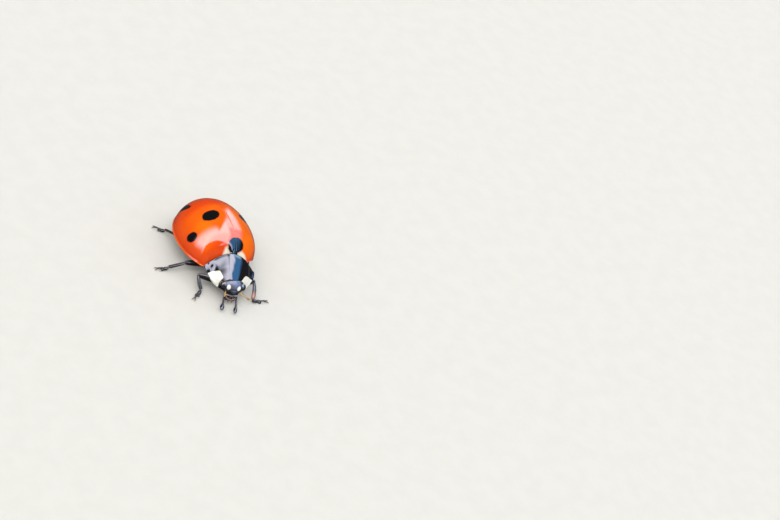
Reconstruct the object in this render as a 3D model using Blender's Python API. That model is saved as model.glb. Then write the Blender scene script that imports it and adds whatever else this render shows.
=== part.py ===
"""Seven-spot ladybird, life size, standing still.

Lengths below are in millimetres in the working frame: the animal faces -Y, its
left side is +X, the side margin of the wing cases is z = 0 and the ground is
z = GROUND.  Every object is scaled to metres and moved at the end, so that the
model's origin is the bottom centre of its box.
"""
import bpy
import bmesh
import math
from mathutils import Vector, Matrix

MM = 0.001

# ---- driving dimensions (mm) -------------------------------------------------
GROUND = -1.20          # ground level under the feet
GAP = 0.025             # clearance between neighbouring pieces
WIDTH = 5.20            # across both wing cases
DOME = 2.33             # height of the dome over the side margin
L_FRONT = 2.85          # widest point to the front end of the dome's outline
L_REAR = 2.96           # widest point to the apex
P_FRONT, P_REAR = 2.35, 2.17      # roundness of the outline in front and behind
HZ_FRONT, HZ_REAR = 1.31, 0.92   # how the dome's ridge falls to its ends
MARGIN_RISE = 0.09
SHOULDER_RISE = 0.45     # the side margin climbs towards the shoulders
SHELL = 0.50            # wing case thickness
LEAN = 0.08             # the body rolls a little to its left, so the seam leans by this much
Y_BASE = -2.50          # middle of the pronotum's hind margin
YAW = math.radians(-17.2)        # the prothorax is turned a little to its right
HEAD_YAW = math.radians(-17.5)   # and the head a little more
ARC = 5.00              # radius of the pronotum's hind margin, seen from above
WAIST = -0.15           # thorax and abdomen meet here
LIMB_R = 0.25           # leg and feeler radius in the solids


def half_width_factor(y):
    """1 at the widest point, 0 at the two ends of the wing cases."""
    if y < 0:
        return max(0.0, 1 - (-y / L_FRONT) ** P_FRONT) ** (1 / P_FRONT)
    return max(0.0, 1 - (y / L_REAR) ** P_REAR) ** (1 / P_REAR)


def ridge(y):
    g = half_width_factor(y)
    return DOME * g ** (HZ_FRONT if y < 0 else HZ_REAR)


def margin_z(y):
    return MARGIN_RISE * (y / 3.0) ** 2


def side_z(y):
    """Height of the wing cases' side margin."""
    t = max(0.0, min(1.0, (-y - 2.0) / 0.7))
    return margin_z(y) + min(SHOULDER_RISE * t * t * (3 - 2 * t), 0.8 * ridge(y))


def dome_z(x, y):
    w = WIDTH / 2 * half_width_factor(y)
    low, top = side_z(y), margin_z(y) + ridge(y)
    return low + (top - low) * math.sqrt(max(0.0, 1 - (x / w) ** 2))


# ---- scene -------------------------------------------------------------------
for ob in list(bpy.data.objects):
    bpy.data.objects.remove(ob, do_unlink=True)

body = bpy.data.collections.new("ladybird")
tools = bpy.data.collections.new("ladybird_cutters")
bpy.context.scene.collection.children.link(body)
bpy.context.scene.collection.children.link(tools)


def material(name, color, rough):
    m = bpy.data.materials.new(name)
    m.use_nodes = True
    b = m.node_tree.nodes["Principled BSDF"]
    b.inputs["Base Color"].default_value = (*color, 1.0)
    b.inputs["Roughness"].default_value = rough
    b.inputs["Metallic"].default_value = 0.0
    m.diffuse_color = (*color, 1.0)
    return m


RED = (0.78, 0.10, 0.005)
BLACK = (0.012, 0.012, 0.014)
DARK = (0.02, 0.018, 0.016)
TAN = (0.45, 0.22, 0.07)


def add(name, bm_or_mesh, color=BLACK, rough=0.3, coll=None):
    """Put a bmesh or mesh in the scene as one named object."""
    if isinstance(bm_or_mesh, bmesh.types.BMesh):
        me = bpy.data.meshes.new(name)
        bmesh.ops.recalc_face_normals(bm_or_mesh, faces=bm_or_mesh.faces)
        bm_or_mesh.to_mesh(me)
        bm_or_mesh.free()
    else:
        me = bm_or_mesh
        me.name = name
    ob = bpy.data.objects.new(name, me)
    (coll or body).objects.link(ob)
    if coll is tools:
        ob.hide_render = True
        ob.display_type = 'WIRE'
    else:
        me.materials.clear()
        me.materials.append(material(name, color, rough))
    return ob


def evaluated(ob):
    bpy.context.view_layer.update()
    dg = bpy.context.evaluated_depsgraph_get()
    return bpy.data.meshes.new_from_object(ob.evaluated_get(dg))


def biggest_body(bm):
    """Keep the largest connected body and drop crumbs that a cut left."""
    todo = set(bm.verts)
    groups = []
    while todo:
        seed = todo.pop()
        group, stack = {seed}, [seed]
        while stack:
            v = stack.pop()
            for e in v.link_edges:
                o = e.other_vert(v)
                if o in todo:
                    todo.discard(o)
                    group.add(o)
                    stack.append(o)
        groups.append(group)
    groups.sort(key=len, reverse=True)
    for g in groups[1:]:
        bmesh.ops.delete(bm, geom=list(g), context='VERTS')


def bake(ob):
    """Replace an object's modifiers by their result, welded."""
    me = evaluated(ob)
    ob.modifiers.clear()
    bm = bmesh.new()
    bm.from_mesh(me)
    bmesh.ops.remove_doubles(bm, verts=bm.verts, dist=0.004)
    bmesh.ops.dissolve_degenerate(bm, edges=bm.edges, dist=0.003)
    biggest_body(bm)
    bmesh.ops.triangulate(bm, faces=[f for f in bm.faces if len(f.verts) > 4])
    bmesh.ops.recalc_face_normals(bm, faces=bm.faces)
    bm.to_mesh(ob.data)
    bm.free()
    bpy.data.meshes.remove(me)
    return ob


def cut(ob, *cutters):
    for c in cutters:
        m = ob.modifiers.new("cut", 'BOOLEAN')
        m.operation = 'DIFFERENCE'
        m.solver = 'EXACT'
        m.object = c
        bake(ob)
    return ob


def grown(ob, by=GAP):
    """A cutter: the object's shape with its skin moved outwards."""
    bm = bmesh.new()
    bm.from_mesh(ob.data)
    bm.normal_update()
    moves = [(v, v.normal.copy()) for v in bm.verts]
    for v, n in moves:
        v.co += n * by
    return add(ob.name + "_clearance", bm, coll=tools)


def turn(p, yaw):
    """A point of the prothorax or head: turned about the pronotum's hind middle."""
    c, s = math.cos(yaw), math.sin(yaw)
    return Vector((p[0] * c - p[1] * s, p[0] * s + p[1] * c + Y_BASE, p[2]))


# ---- wing cases --------------------------------------------------------------
def dome_point(n, inset=0.0):
    """From a unit direction of the upper half sphere, poles fore and aft, to the dome."""
    t = math.asin(max(-1.0, min(1.0, n.y))) / (math.pi / 2)
    # stations crowd towards the ends, where the outline turns in
    s = math.sin(t * math.pi / 2)
    full = L_FRONT if s < 0 else L_REAR
    y = s * full
    g = half_width_factor(y)
    phi = math.atan2(n.z, n.x) if abs(s) < 0.99999 else math.pi / 2
    low = side_z(y)
    top = margin_z(y) + ridge(y)
    top = low + (top - low) * (DOME - inset) / DOME
    w = (WIDTH / 2 - inset) * g
    return Vector((w * math.cos(phi), s * (full - inset), low + (top - low) * max(0.0, math.sin(phi))))


def shell(name, thickness, coll=None, around=36, along=24, outset=0.0):
    """The dome as a wall of even thickness, open below."""
    bm = bmesh.new()
    bmesh.ops.create_uvsphere(bm, u_segments=around, v_segments=along, radius=1.0,
                              matrix=Matrix.Rotation(math.radians(90), 4, 'X'))
    bmesh.ops.delete(bm, geom=[v for v in bm.verts if v.co.z < -1e-4], context='VERTS')
    ext = bmesh.ops.extrude_face_region(bm, geom=list(bm.faces))
    inner = {v for v in ext["geom"] if isinstance(v, bmesh.types.BMVert)}
    for v in bm.verts:
        v.co = dome_point(v.co, thickness if v in inner else -outset)
    return add(name, bm, RED, 0.18, coll)


def box(name, lo, hi):
    bm = bmesh.new()
    bmesh.ops.create_cube(bm, size=1.0)
    for v in bm.verts:
        v.co = Vector(((lo[i] + hi[i]) / 2 + v.co[i] * (hi[i] - lo[i]) for i in range(3)))
    return add(name, bm, coll=tools)


def arc_cutter(name, radius):
    """The upright drum whose wall is the pronotum's hind margin."""
    c = turn((0, -ARC, 0), YAW)
    bm = bmesh.new()
    bmesh.ops.create_cone(bm, cap_ends=True, segments=120, radius1=radius, radius2=radius,
                          depth=8.0, matrix=Matrix.Translation((c.x, c.y, 0)))
    return add(name, bm, coll=tools)


base_arc = arc_cutter("base_arc", ARC + GAP)

# the scutellum: a small three-cornered plate between the bases of the wing cases
SCUT_W, SCUT_L = 0.19, 0.20


def scutellum_mesh(extra=0.0, deep=0.45, proud=0.02):
    bm = bmesh.new()
    bmesh.ops.create_cone(bm, cap_ends=True, segments=3, radius1=1.0, radius2=1.0, depth=1.0)
    front = Y_BASE - 0.30 - extra
    apex = Y_BASE + SCUT_L + extra * 2
    # order the three corners: two in front, one behind
    for v in bm.verts:
        up = v.co.z > 0
        behind = v.co.y > 0.5 or (abs(v.co.x) < 0.1 and abs(v.co.y) > 0.9)
        y = apex if behind else front
        reach = (apex - front) / (apex - Y_BASE)
        x = 0.0 if behind else math.copysign((SCUT_W + extra) * reach, v.co.x)
        z = dome_z(0, max(y, Y_BASE - 0.1))
        v.co = Vector((x, y, z + proud + extra if up else z - deep - extra))
    return bm


scutellum = add("scutellum", scutellum_mesh(), BLACK, 0.2)
cut(scutellum, base_arc)
notch = add("scutellum_notch", scutellum_mesh(extra=GAP, proud=1.0), coll=tools)

for side, sx in (("left", 1), ("right", -1)):
    ob = shell("elytron_" + side, SHELL)
    other = box("half_" + side, (-4, -4, -3) if sx > 0 else (-GAP / 2, -4, -3),
                (GAP / 2, 4, 4) if sx > 0 else (4, 4, 4))
    for v in other.data.vertices:
        v.co.x += LEAN * v.co.z
    cut(ob, other, base_arc, notch)


# ---- thorax and abdomen ------------------------------------------------------
TRUNK_W, TRUNK_H = WIDTH / 2 - SHELL - 0.05, DOME - SHELL - 0.06
TRUNK_FRONT, TRUNK_REAR = 3.20, L_REAR - SHELL - 0.06


def belly(y):
    """Depth of the underside below the side margin."""
    u = (y + 0.7) / 3.1
    return 0.50 * max(0.25, 1 - 0.55 * u * u)


def trunk_mesh(around=32, along=22):
    bm = bmesh.new()
    bmesh.ops.create_uvsphere(bm, u_segments=around, v_segments=along, radius=1.0,
                              matrix=Matrix.Rotation(math.radians(90), 4, 'X'))
    for v in bm.verts:
        s = v.co.y
        y = s * (TRUNK_FRONT if s < 0 else TRUNK_REAR)
        p = 2.4 if s < 0 else P_REAR
        g = max(0.0, 1 - abs(s) ** p) ** (1 / p)
        phi = math.atan2(v.co.z, v.co.x)
        up = math.sin(phi)
        z = margin_z(y) + (TRUNK_H * g ** (2.0 if s < 0 else 1.2) * up if up > 0 else -belly(y) * g ** 0.5 * (-up) ** 0.8)
        v.co = Vector((TRUNK_W * g * math.cos(phi), y, z))
    return bm


# room for the wing cases: their wall, thicker on both sides and a little lower
trunk_room = shell("trunk_room", SHELL + GAP, tools, outset=0.4)
trunk_room.data.transform(Matrix.Translation((0, 0, -0.03)))
cut(trunk_room, arc_cutter("inside_arc", ARC))
for name, y0, y1 in (("thorax", -4.0, WAIST - GAP / 2), ("abdomen", WAIST + GAP / 2, 4.0)):
    ob = add(name, trunk_mesh(), DARK, 0.45)
    ends = box(name + "_end", (-4, -5, -4) if name == "abdomen" else (-4, WAIST - GAP / 2, -4),
               (4, WAIST + GAP / 2, 4) if name == "abdomen" else (4, 5, 4))
    cut(ob, ends, trunk_room)
    if name == "thorax":
        cut(ob, base_arc, notch)


# ---- pronotum ----------------------------------------------------------------
PRO_W, PRO_LEN = 1.59, 1.75        # half width, length along the middle


def pro_mid(v):
    """Middle line, hind (0) to front (1): y and z."""
    return -PRO_LEN * v, 0.47 + 0.68 * (1 - v ** 1.25)


def pro_edge(v):
    """Side edge, hind corner to front corner: x, y and z."""
    return PRO_W - 0.56 * v ** 2.2, -0.26 - 1.20 * v, 0.05 - 0.41 * v


def pronotum_point(u, v, top):
    """u runs from the right (-1) to the left (1) edge."""
    ym, zm = pro_mid(v)
    xe, ye, ze = pro_edge(v)
    x = xe * u
    y = ym + (ye - ym) * u * u
    if top:
        z = ze + (zm - ze) * max(0.0, 1 - u * u) ** 0.97
    else:
        z = ze - 0.10 - 0.50 * (1 - abs(u) ** 1.3) ** 1.3 * (0.55 + 0.45 * math.cos(math.pi * (v - 0.4)))
    return turn((x, y, z), YAW)


bm = bmesh.new()
NU, NV = 16, 9
bmesh.ops.create_grid(bm, x_segments=NU, y_segments=NV, size=1.0)
upper = {v: (v.co.x, v.co.y) for v in bm.verts}
ext = bmesh.ops.extrude_face_region(bm, geom=list(bm.faces))
low = {v for v in ext["geom"] if isinstance(v, bmesh.types.BMVert)}
for v in bm.verts:
    u, w = v.co.x, (1 - v.co.y) / 2
    # stations bunch towards the edge, where the plate curves most
    u = math.sin(u * math.pi / 2) * 0.6 + u * 0.4
    v.co = pronotum_point(u, w, v not in low)
pronotum = add("pronotum", bm, BLACK, 0.15)

# ---- head --------------------------------------------------------------------
HEAD_C = (0.0, -1.61, -0.10)
HEAD_R = (0.80, 0.54, 0.50)


def head_point(n, grow=0.0):
    """From a unit direction to the head's surface, in the head's own axes."""
    x, y, z = n
    p = Vector((HEAD_C[0] + (HEAD_R[0] + grow) * x,
                HEAD_C[1] + (HEAD_R[1] + grow) * y,
                HEAD_C[2] + (HEAD_R[2] + grow) * z))
    # the clypeus: the lower front runs straight down and forward
    t = max(0.0, min(1.0, (abs(x) - 0.50) / 0.35))
    low_front = max(0.0, -z) * max(0.0, -y) * (1 - t * t * (3 - 2 * t))
    p.y -= 0.46 * low_front
    p.z -= 0.10 * low_front
    return p


def head_mesh(grow=0.0):
    bm = bmesh.new()
    bmesh.ops.create_uvsphere(bm, u_segments=20, v_segments=14, radius=1.0)
    for v in bm.verts:
        v.co = turn(head_point(v.co, grow), HEAD_YAW)
    return bm


head = add("head", head_mesh(), BLACK, 0.2)
head_room = add("head_room", head_mesh(GAP), coll=tools)
cut(pronotum, head_room)


def ellipsoid(name, c, r, color, rough, segs=(16, 10), yaw=HEAD_YAW, tilt=0.0):
    bm = bmesh.new()
    bmesh.ops.create_uvsphere(bm, u_segments=segs[0], v_segments=segs[1], radius=1.0)
    rot = Matrix.Rotation(tilt, 3, 'Z')
    for v in bm.verts:
        q = rot @ Vector((v.co.x * r[0], v.co.y * r[1], v.co.z * r[2]))
        v.co = turn((c[0] + q.x, c[1] + q.y, c[2] + q.z), yaw)
    return add(name, bm, color, rough)


for side, sx in (("left", 1), ("right", -1)):
    eye = ellipsoid("eye_" + side, (sx * 0.60, -1.75, -0.03), (0.27, 0.27, 0.26), BLACK, 0.1,
                    tilt=sx * 0.3)
    cut(eye, head_room, grown(pronotum))

mouth = ellipsoid("mouthparts", (0.0, -2.17, -0.72), (0.26, 0.25, 0.18), DARK, 0.35, (14, 8))
cut(mouth, head_room)


# ---- limbs and feelers -------------------------------------------------------
def tube(name, points, radii, color=BLACK, rough=0.3, sides=2, coll=None):
    """A curve with a round section that thickens and thins along its way."""
    cu = bpy.data.curves.new(name, 'CURVE')
    cu.dimensions = '3D'
    cu.bevel_depth = 1.0
    cu.bevel_resolution = sides
    cu.use_fill_caps = True
    sp = cu.splines.new('POLY')
    sp.points.add(len(points) - 1)
    for pt, p, r in zip(sp.points, points, radii):
        pt.co = (*p, 1.0)
        pt.radius = r
    ob = bpy.data.objects.new(name + "_path", cu)
    tools.objects.link(ob)
    me = evaluated(ob)
    bpy.data.objects.remove(ob, do_unlink=True)
    bm = bmesh.new()
    bm.from_mesh(me)
    bmesh.ops.remove_doubles(bm, verts=bm.verts, dist=0.0005)
    bpy.data.meshes.remove(me)
    return add(name, bm, color, rough, coll)


def round_tube(name, a, b, r0, r1, bulge=0.0, round_start=True, grow=0.0):
    """A limb segment from a to b with rounded ends, or its clearance if it is grown."""
    a, b = Vector(a), Vector(b)
    d = (b - a).normalized()
    r0, r1 = r0 + grow, r1 + grow
    pts, rad = [], []
    if round_start:
        for k in (0.95, 0.7, 0.35):
            pts.append(a - d * r0 * k)
            rad.append(r0 * math.sqrt(1 - k * k))
    for t in (0.0, 1 / 3, 2 / 3, 1.0):
        pts.append(a.lerp(b, t))
        rad.append(r0 + (r1 - r0) * t + bulge * math.sin(math.pi * t))
    for k in (0.35, 0.7, 0.95):
        pts.append(b + d * r1 * k)
        rad.append(r1 * math.sqrt(1 - k * k))
    return tube(name, pts, rad, coll=tools if grow else None)


def foot(name, a, b, r0, r1):
    """A tarsus: an eight-sided tapering bar that lies on one of its flats."""
    a, b = Vector((a[0], a[1], 0)), Vector((b[0], b[1], 0))
    d = (b - a)
    bm = bmesh.new()
    bmesh.ops.create_cone(bm, cap_ends=True, segments=8, radius1=1.0, radius2=1.0, depth=1.0,
                          matrix=Matrix.Rotation(math.radians(22.5), 4, 'Z'))
    flat = math.cos(math.radians(22.5))
    s = Vector((-d.y, d.x, 0)).normalized()
    for v in bm.verts:
        t = v.co.z + 0.5
        r = r0 + (r1 - r0) * t
        p = a + d * t + s * (v.co.x * r)
        v.co = Vector((p.x, p.y, GROUND + flat * r + v.co.y * r))
        if abs(v.co.z - GROUND) < 1e-4:
            v.co.z = GROUND
    return add(name, bm, BLACK, 0.35)


# coxa, knee, ankle and claw tip of each leg
LEGS = {
    "fore_right": ((-0.66, -3.36, -0.60), (-2.24, -2.68, -0.36), (-2.20, -3.42), (-3.02, -4.08)),
    "fore_left": ((0.24, -3.62, -0.60), (1.45, -3.64, -0.36), (1.12, -4.56), (2.16, -4.84)),
    "mid_right": ((-0.85, -1.50, -0.66), (-2.52, -1.33, -0.50), (-3.55, -1.17), (-4.44, -1.04)),
    "mid_left": ((0.85, -1.50, -0.66), (2.40, -0.80, -0.50), (3.02, 0.05), (3.55, 0.70)),
    "hind_right": ((-0.75, -0.35, -0.66), (-2.02, 0.95, -0.50), (-2.18, 2.26), (-2.82, 2.84)),
    "hind_left": ((0.75, -0.35, -0.66), (2.10, 0.75, -0.50), (2.25, 2.10), (2.85, 2.85)),
}
ANKLE_Z = -0.92

under = [grown(bpy.data.objects[n]) for n in ("thorax", "abdomen", "pronotum")]
for name, (coxa, knee, ankle, claw) in LEGS.items():
    rooms = []
    for grow in (0.0, GAP):
        ob = round_tube("leg_%s_femur" % name + "_room" * bool(grow), coxa, knee,
                        LIMB_R, LIMB_R * 0.96, bulge=0.03, grow=grow)
        rooms.append(ob)
    femur, femur_room = rooms
    cut(femur, *(under[2:] if name.startswith("fore") else under[:2]))
    k, c = Vector(knee), Vector((ankle[0], ankle[1], ANKLE_Z))
    start = k + (c - k).normalized() * 0.07
    tibia = round_tube("leg_%s_tibia" % name, start, c, LIMB_R * 0.92, LIMB_R * 0.86,
                       round_start=False)
    tibia_room = round_tube("leg_%s_tibia_room" % name, start, c, LIMB_R * 0.92, LIMB_R * 0.86,
                            round_start=False, grow=GAP)
    cut(tibia, femur_room)
    d = Vector((claw[0] - ankle[0], claw[1] - ankle[1], 0)).normalized()
    tarsus = foot("leg_%s_tarsus" % name, (ankle[0] + d.x * 0.02, ankle[1] + d.y * 0.02), claw,
                  LIMB_R, LIMB_R * 0.9)
    cut(tarsus, tibia_room)

# palps, with the broad end segment of the family
PALPS = {
    "right": ((-0.94, -4.26, -0.64), (-1.26, -4.78, -0.84), (-1.60, -5.32, -0.98)),
    "left": ((-0.20, -4.55, -0.66), (-0.48, -5.14, -0.84), (-0.80, -5.72, -0.98)),
}
for side, (a, m, b) in PALPS.items():
    palp = tube("palp_" + side, [a, m, Vector(m).lerp(b, 0.45), Vector(m).lerp(b, 0.85), b],
                [0.20, 0.20, 0.22, 0.21, 0.15], DARK)
    cut(palp, head_room, grown(mouth), grown(bpy.data.objects["pronotum"]))

FEELERS = {
    "left": ((-0.20, -4.42, -0.34), (0.22, -4.70, -0.50), (0.60, -4.96, -0.66)),
    "right": ((-0.90, -4.18, -0.40), (-1.16, -4.50, -0.30), (-1.42, -4.86, -0.20)),
}
for side, (a, m, b) in FEELERS.items():
    ant = tube("antenna_" + side, [a, Vector(a).lerp(m, 0.5), m, Vector(m).lerp(b, 0.6), b],
               [0.21, 0.20, 0.21, 0.25, 0.18], TAN)
    cut(ant, head_room, grown(bpy.data.objects["palp_" + side]),
        grown(bpy.data.objects["eye_" + side]))

# ---- finish: metres, origin at the bottom centre -----------------------------
for ob in list(tools.objects):
    bpy.data.objects.remove(ob, do_unlink=True)
lo = Vector((1e9,) * 3)
hi = Vector((-1e9,) * 3)
for ob in body.objects:
    for v in ob.data.vertices:
        for i in range(3):
            lo[i] = min(lo[i], v.co[i])
            hi[i] = max(hi[i], v.co[i])
shift = Matrix.Translation((-(lo.x + hi.x) / 2, -(lo.y + hi.y) / 2, -lo.z))
for ob in body.objects:
    ob.data.transform(Matrix.Scale(MM, 4) @ shift)
    ob.data.shade_smooth()
    ob.data.set_sharp_from_angle(angle=math.radians(40))
    ob.data.update()
print("box", [round(v, 4) for v in (hi - lo)], "lowest", round(lo.z, 4),
      "moved by", [round(v, 4) for v in shift.translation],
      "triangles", sum(len(p.vertices) - 2 for ob in body.objects for p in ob.data.polygons))
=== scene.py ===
"""Looks of the life-size seven-spot ladybird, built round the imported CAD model.

Lengths below are in millimetres in the working frame of the CAD part: the animal
faces -Y, its left side is +X, the wing cases' side margin is z = 0 and the ground
is z = -1.20.  place() turns them into metres in the model's own frame.
"""
import bpy
import math
import numpy as np
from mathutils import Matrix, Vector
from mathutils.kdtree import KDTree

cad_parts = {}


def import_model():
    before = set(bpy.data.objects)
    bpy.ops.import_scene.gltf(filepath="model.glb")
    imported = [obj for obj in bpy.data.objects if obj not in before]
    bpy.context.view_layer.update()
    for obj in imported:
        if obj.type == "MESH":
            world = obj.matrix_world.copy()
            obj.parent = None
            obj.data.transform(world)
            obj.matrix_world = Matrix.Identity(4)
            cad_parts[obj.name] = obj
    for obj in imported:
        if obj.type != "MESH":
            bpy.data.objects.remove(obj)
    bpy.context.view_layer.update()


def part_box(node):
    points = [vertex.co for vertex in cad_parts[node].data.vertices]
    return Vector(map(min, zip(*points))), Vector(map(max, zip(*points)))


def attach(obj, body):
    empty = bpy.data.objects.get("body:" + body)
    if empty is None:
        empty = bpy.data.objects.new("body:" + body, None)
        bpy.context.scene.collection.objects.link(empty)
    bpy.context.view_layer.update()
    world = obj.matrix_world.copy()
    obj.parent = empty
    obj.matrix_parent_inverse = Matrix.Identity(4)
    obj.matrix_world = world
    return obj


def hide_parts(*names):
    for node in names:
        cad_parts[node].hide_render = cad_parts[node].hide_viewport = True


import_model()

# ---- the shared frame ----------------------------------------------------------
GROUND, GAP, WIDTH, DOME = -1.20, 0.025, 5.20, 2.33
L_FRONT, L_REAR, P_FRONT, P_REAR = 2.85, 2.96, 2.35, 2.17
HZ_FRONT, HZ_REAR, MARGIN_RISE, SHELL = 1.31, 0.92, 0.09, 0.50
SHOULDER_RISE, LEAN = 0.45, 0.08
Y_BASE, YAW, HEAD_YAW, ARC = -2.50, math.radians(-17.2), math.radians(-17.5), 5.00
PRO_W, PRO_LEN, MID_POWER = 1.59, 1.75, 1.25
_l, _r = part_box("elytron_left"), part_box("elytron_right")
SHIFT = np.array([(_l[1].x + _r[0].x) * 500.0, _l[1].y * 1000.0 - L_REAR, -GROUND])
rng = np.random.default_rng(7)


def place(v):
    return (np.asarray(v, float) + SHIFT) * 0.001


def turn(p, yaw):
    p = np.asarray(p, float)
    c, s = math.cos(yaw), math.sin(yaw)
    x, y, z = p[..., 0], p[..., 1], p[..., 2]
    return np.stack([x * c - y * s, x * s + y * c + Y_BASE, z], -1)


def smooth(e0, e1, x):
    t = np.clip((np.asarray(x, float) - e0) / (e1 - e0), 0, 1)
    return t * t * (3 - 2 * t)


def unit(v):
    v = np.asarray(v, float)
    return v / (np.linalg.norm(v, axis=-1, keepdims=True) + 1e-12)


# ---- mesh helpers ----------------------------------------------------------------
class Geo:
    """Points, faces and per-point values gathered for one object."""

    def __init__(self):
        self.v, self.f, self.mi, self.a, self.n = [], [], [], {}, 0

    def add(self, v, f, mat=0, **values):
        v = np.asarray(v, float).reshape(-1, 3)
        k = self.n
        self.f += [tuple(i + k for i in q) for q in f]
        self.mi += [mat] * len(f)
        for name in set(self.a) | set(values):
            have = self.a.setdefault(name, [])
            have += [0.0] * (k - len(have))
            val = values.get(name, 0.0)
            have += list(np.broadcast_to(np.asarray(val, float).ravel() if np.ndim(val) else val, (len(v),)))
        self.v.append(v)
        self.n += len(v)
        return self

    def build(self, name, mats, slot, nodes=(), flip_check=True):
        v = place(np.concatenate(self.v))
        v[:, 2] = np.maximum(v[:, 2], 0.0)      # soles and hair tips rest on the ground
        me = bpy.data.meshes.new(name)
        me.from_pydata(v.tolist(), [], self.f)
        me.polygons.foreach_set("material_index", self.mi)
        for n, val in self.a.items():
            val = val + [0.0] * (len(v) - len(val))
            at = me.attributes.new(n, "FLOAT", "POINT")
            at.data.foreach_set("value", np.asarray(val, np.float32))
        me.update()
        me.shade_smooth()
        for m in mats:
            me.materials.append(m)
        ob = bpy.data.objects.new(name, me)
        bpy.context.scene.collection.objects.link(ob)
        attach(ob, "root")
        if nodes:
            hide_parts(*nodes)
        return ob


def grid_faces(nu, nv, wrap=False, flip=False):
    """Faces of an nu x nv grid of points stored row by row; wrap closes it along v."""
    out = []
    for i in range(nu - 1):
        for j in range(nv if wrap else nv - 1):
            k = (j + 1) % nv
            q = (i * nv + j, (i + 1) * nv + j, (i + 1) * nv + k, i * nv + k)
            out.append(q[::-1] if flip else q)
    return out


def grid_normals(P):
    du = np.gradient(P, axis=0)
    dv = np.gradient(P, axis=1)
    return unit(np.cross(du, dv))


def smooth_path(points, n):
    """A Catmull-Rom curve through the points, n samples."""
    p = np.asarray(points, float)
    if len(p) == 2:
        t = np.linspace(0, 1, n)[:, None]
        return p[0] * (1 - t) + p[1] * t
    q = np.vstack([2 * p[0] - p[1], p, 2 * p[-1] - p[-2]])
    s = np.linspace(0, len(p) - 1 - 1e-9, n)
    out = []
    for x in s:
        i = int(x)
        t = x - i
        a, b, c, d = q[i], q[i + 1], q[i + 2], q[i + 3]
        out.append(0.5 * (2 * b + (c - a) * t + (2 * a - 5 * b + 4 * c - d) * t ** 2
                          + (3 * b - a - 3 * c + d) * t ** 3))
    return np.array(out)


def sweep(path, ra, rb=None, n=16, side=(0, 0, 1), offset=None):
    """A closed round bar along path: half thickness ra along `side` and rb across it."""
    path = np.asarray(path, float)
    m = len(path)
    ra = np.broadcast_to(ra, (m,)).astype(float)
    rb = ra if rb is None else np.broadcast_to(rb, (m,)).astype(float)
    t = unit(np.gradient(path, axis=0))
    s = np.broadcast_to(np.asarray(side, float), (m, 3))
    s = unit(s - (s * t).sum(1, keepdims=True) * t)
    c = np.cross(t, s)
    an = np.linspace(0, 2 * math.pi, n, endpoint=False)
    ring = (path[:, None, :] + s[:, None, :] * (ra[:, None] * np.cos(an))[..., None]
            + c[:, None, :] * (rb[:, None] * np.sin(an))[..., None])
    if offset is not None:
        ring = ring + offset(ring, an)
    v = np.vstack([ring.reshape(-1, 3), path[0], path[-1]])
    f = grid_faces(m, n, wrap=True, flip=False)
    a, b = m * n, m * n + 1
    f += [(a, j, (j + 1) % n) for j in range(n)]
    f += [(b, (m - 1) * n + (j + 1) % n, (m - 1) * n + j) for j in range(n)]
    return v, f


def bead(points, prof, n=14, rings=16, side=(0, 0, 1), flat=1.0, bend=None):
    """A rounded segment: prof(t) is the radius for t in 0..1, closed round at both ends."""
    t = (1 - np.cos(np.linspace(0, math.pi, rings))) / 2
    path = smooth_path(points, 64)
    idx = t * 63
    lo = np.floor(idx).astype(int).clip(0, 62)
    fr = (idx - lo)[:, None]
    p = path[lo] * (1 - fr) + path[lo + 1] * fr
    r = np.array([prof(x) for x in t]) * np.sqrt(np.clip(1 - np.abs(2 * t - 1) ** 6, 0.0004, 1))
    return sweep(p, r, r * flat, n=n, side=side)


def ball(c, r, axes=None, n=24, m=16):
    """An ellipsoid with half axes r along the given directions."""
    axes = np.eye(3) if axes is None else np.asarray(axes, float)
    th = np.linspace(0, 2 * math.pi, n, endpoint=False)
    ph = np.linspace(-math.pi / 2 + 0.03, math.pi / 2 - 0.03, m)
    pts = np.array([[math.cos(p) * math.cos(t), math.cos(p) * math.sin(t), math.sin(p)] for p in ph for t in th])
    pts = np.vstack([pts, [0, 0, -1], [0, 0, 1]])
    v = np.asarray(c, float) + (pts * np.asarray(r, float)) @ axes
    f = grid_faces(m, n, wrap=True, flip=True)
    f += [(m * n, (j + 1) % n, j) for j in range(n)]
    f += [(m * n + 1, (m - 1) * n + j, (m - 1) * n + (j + 1) % n) for j in range(n)]
    return v, f


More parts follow.
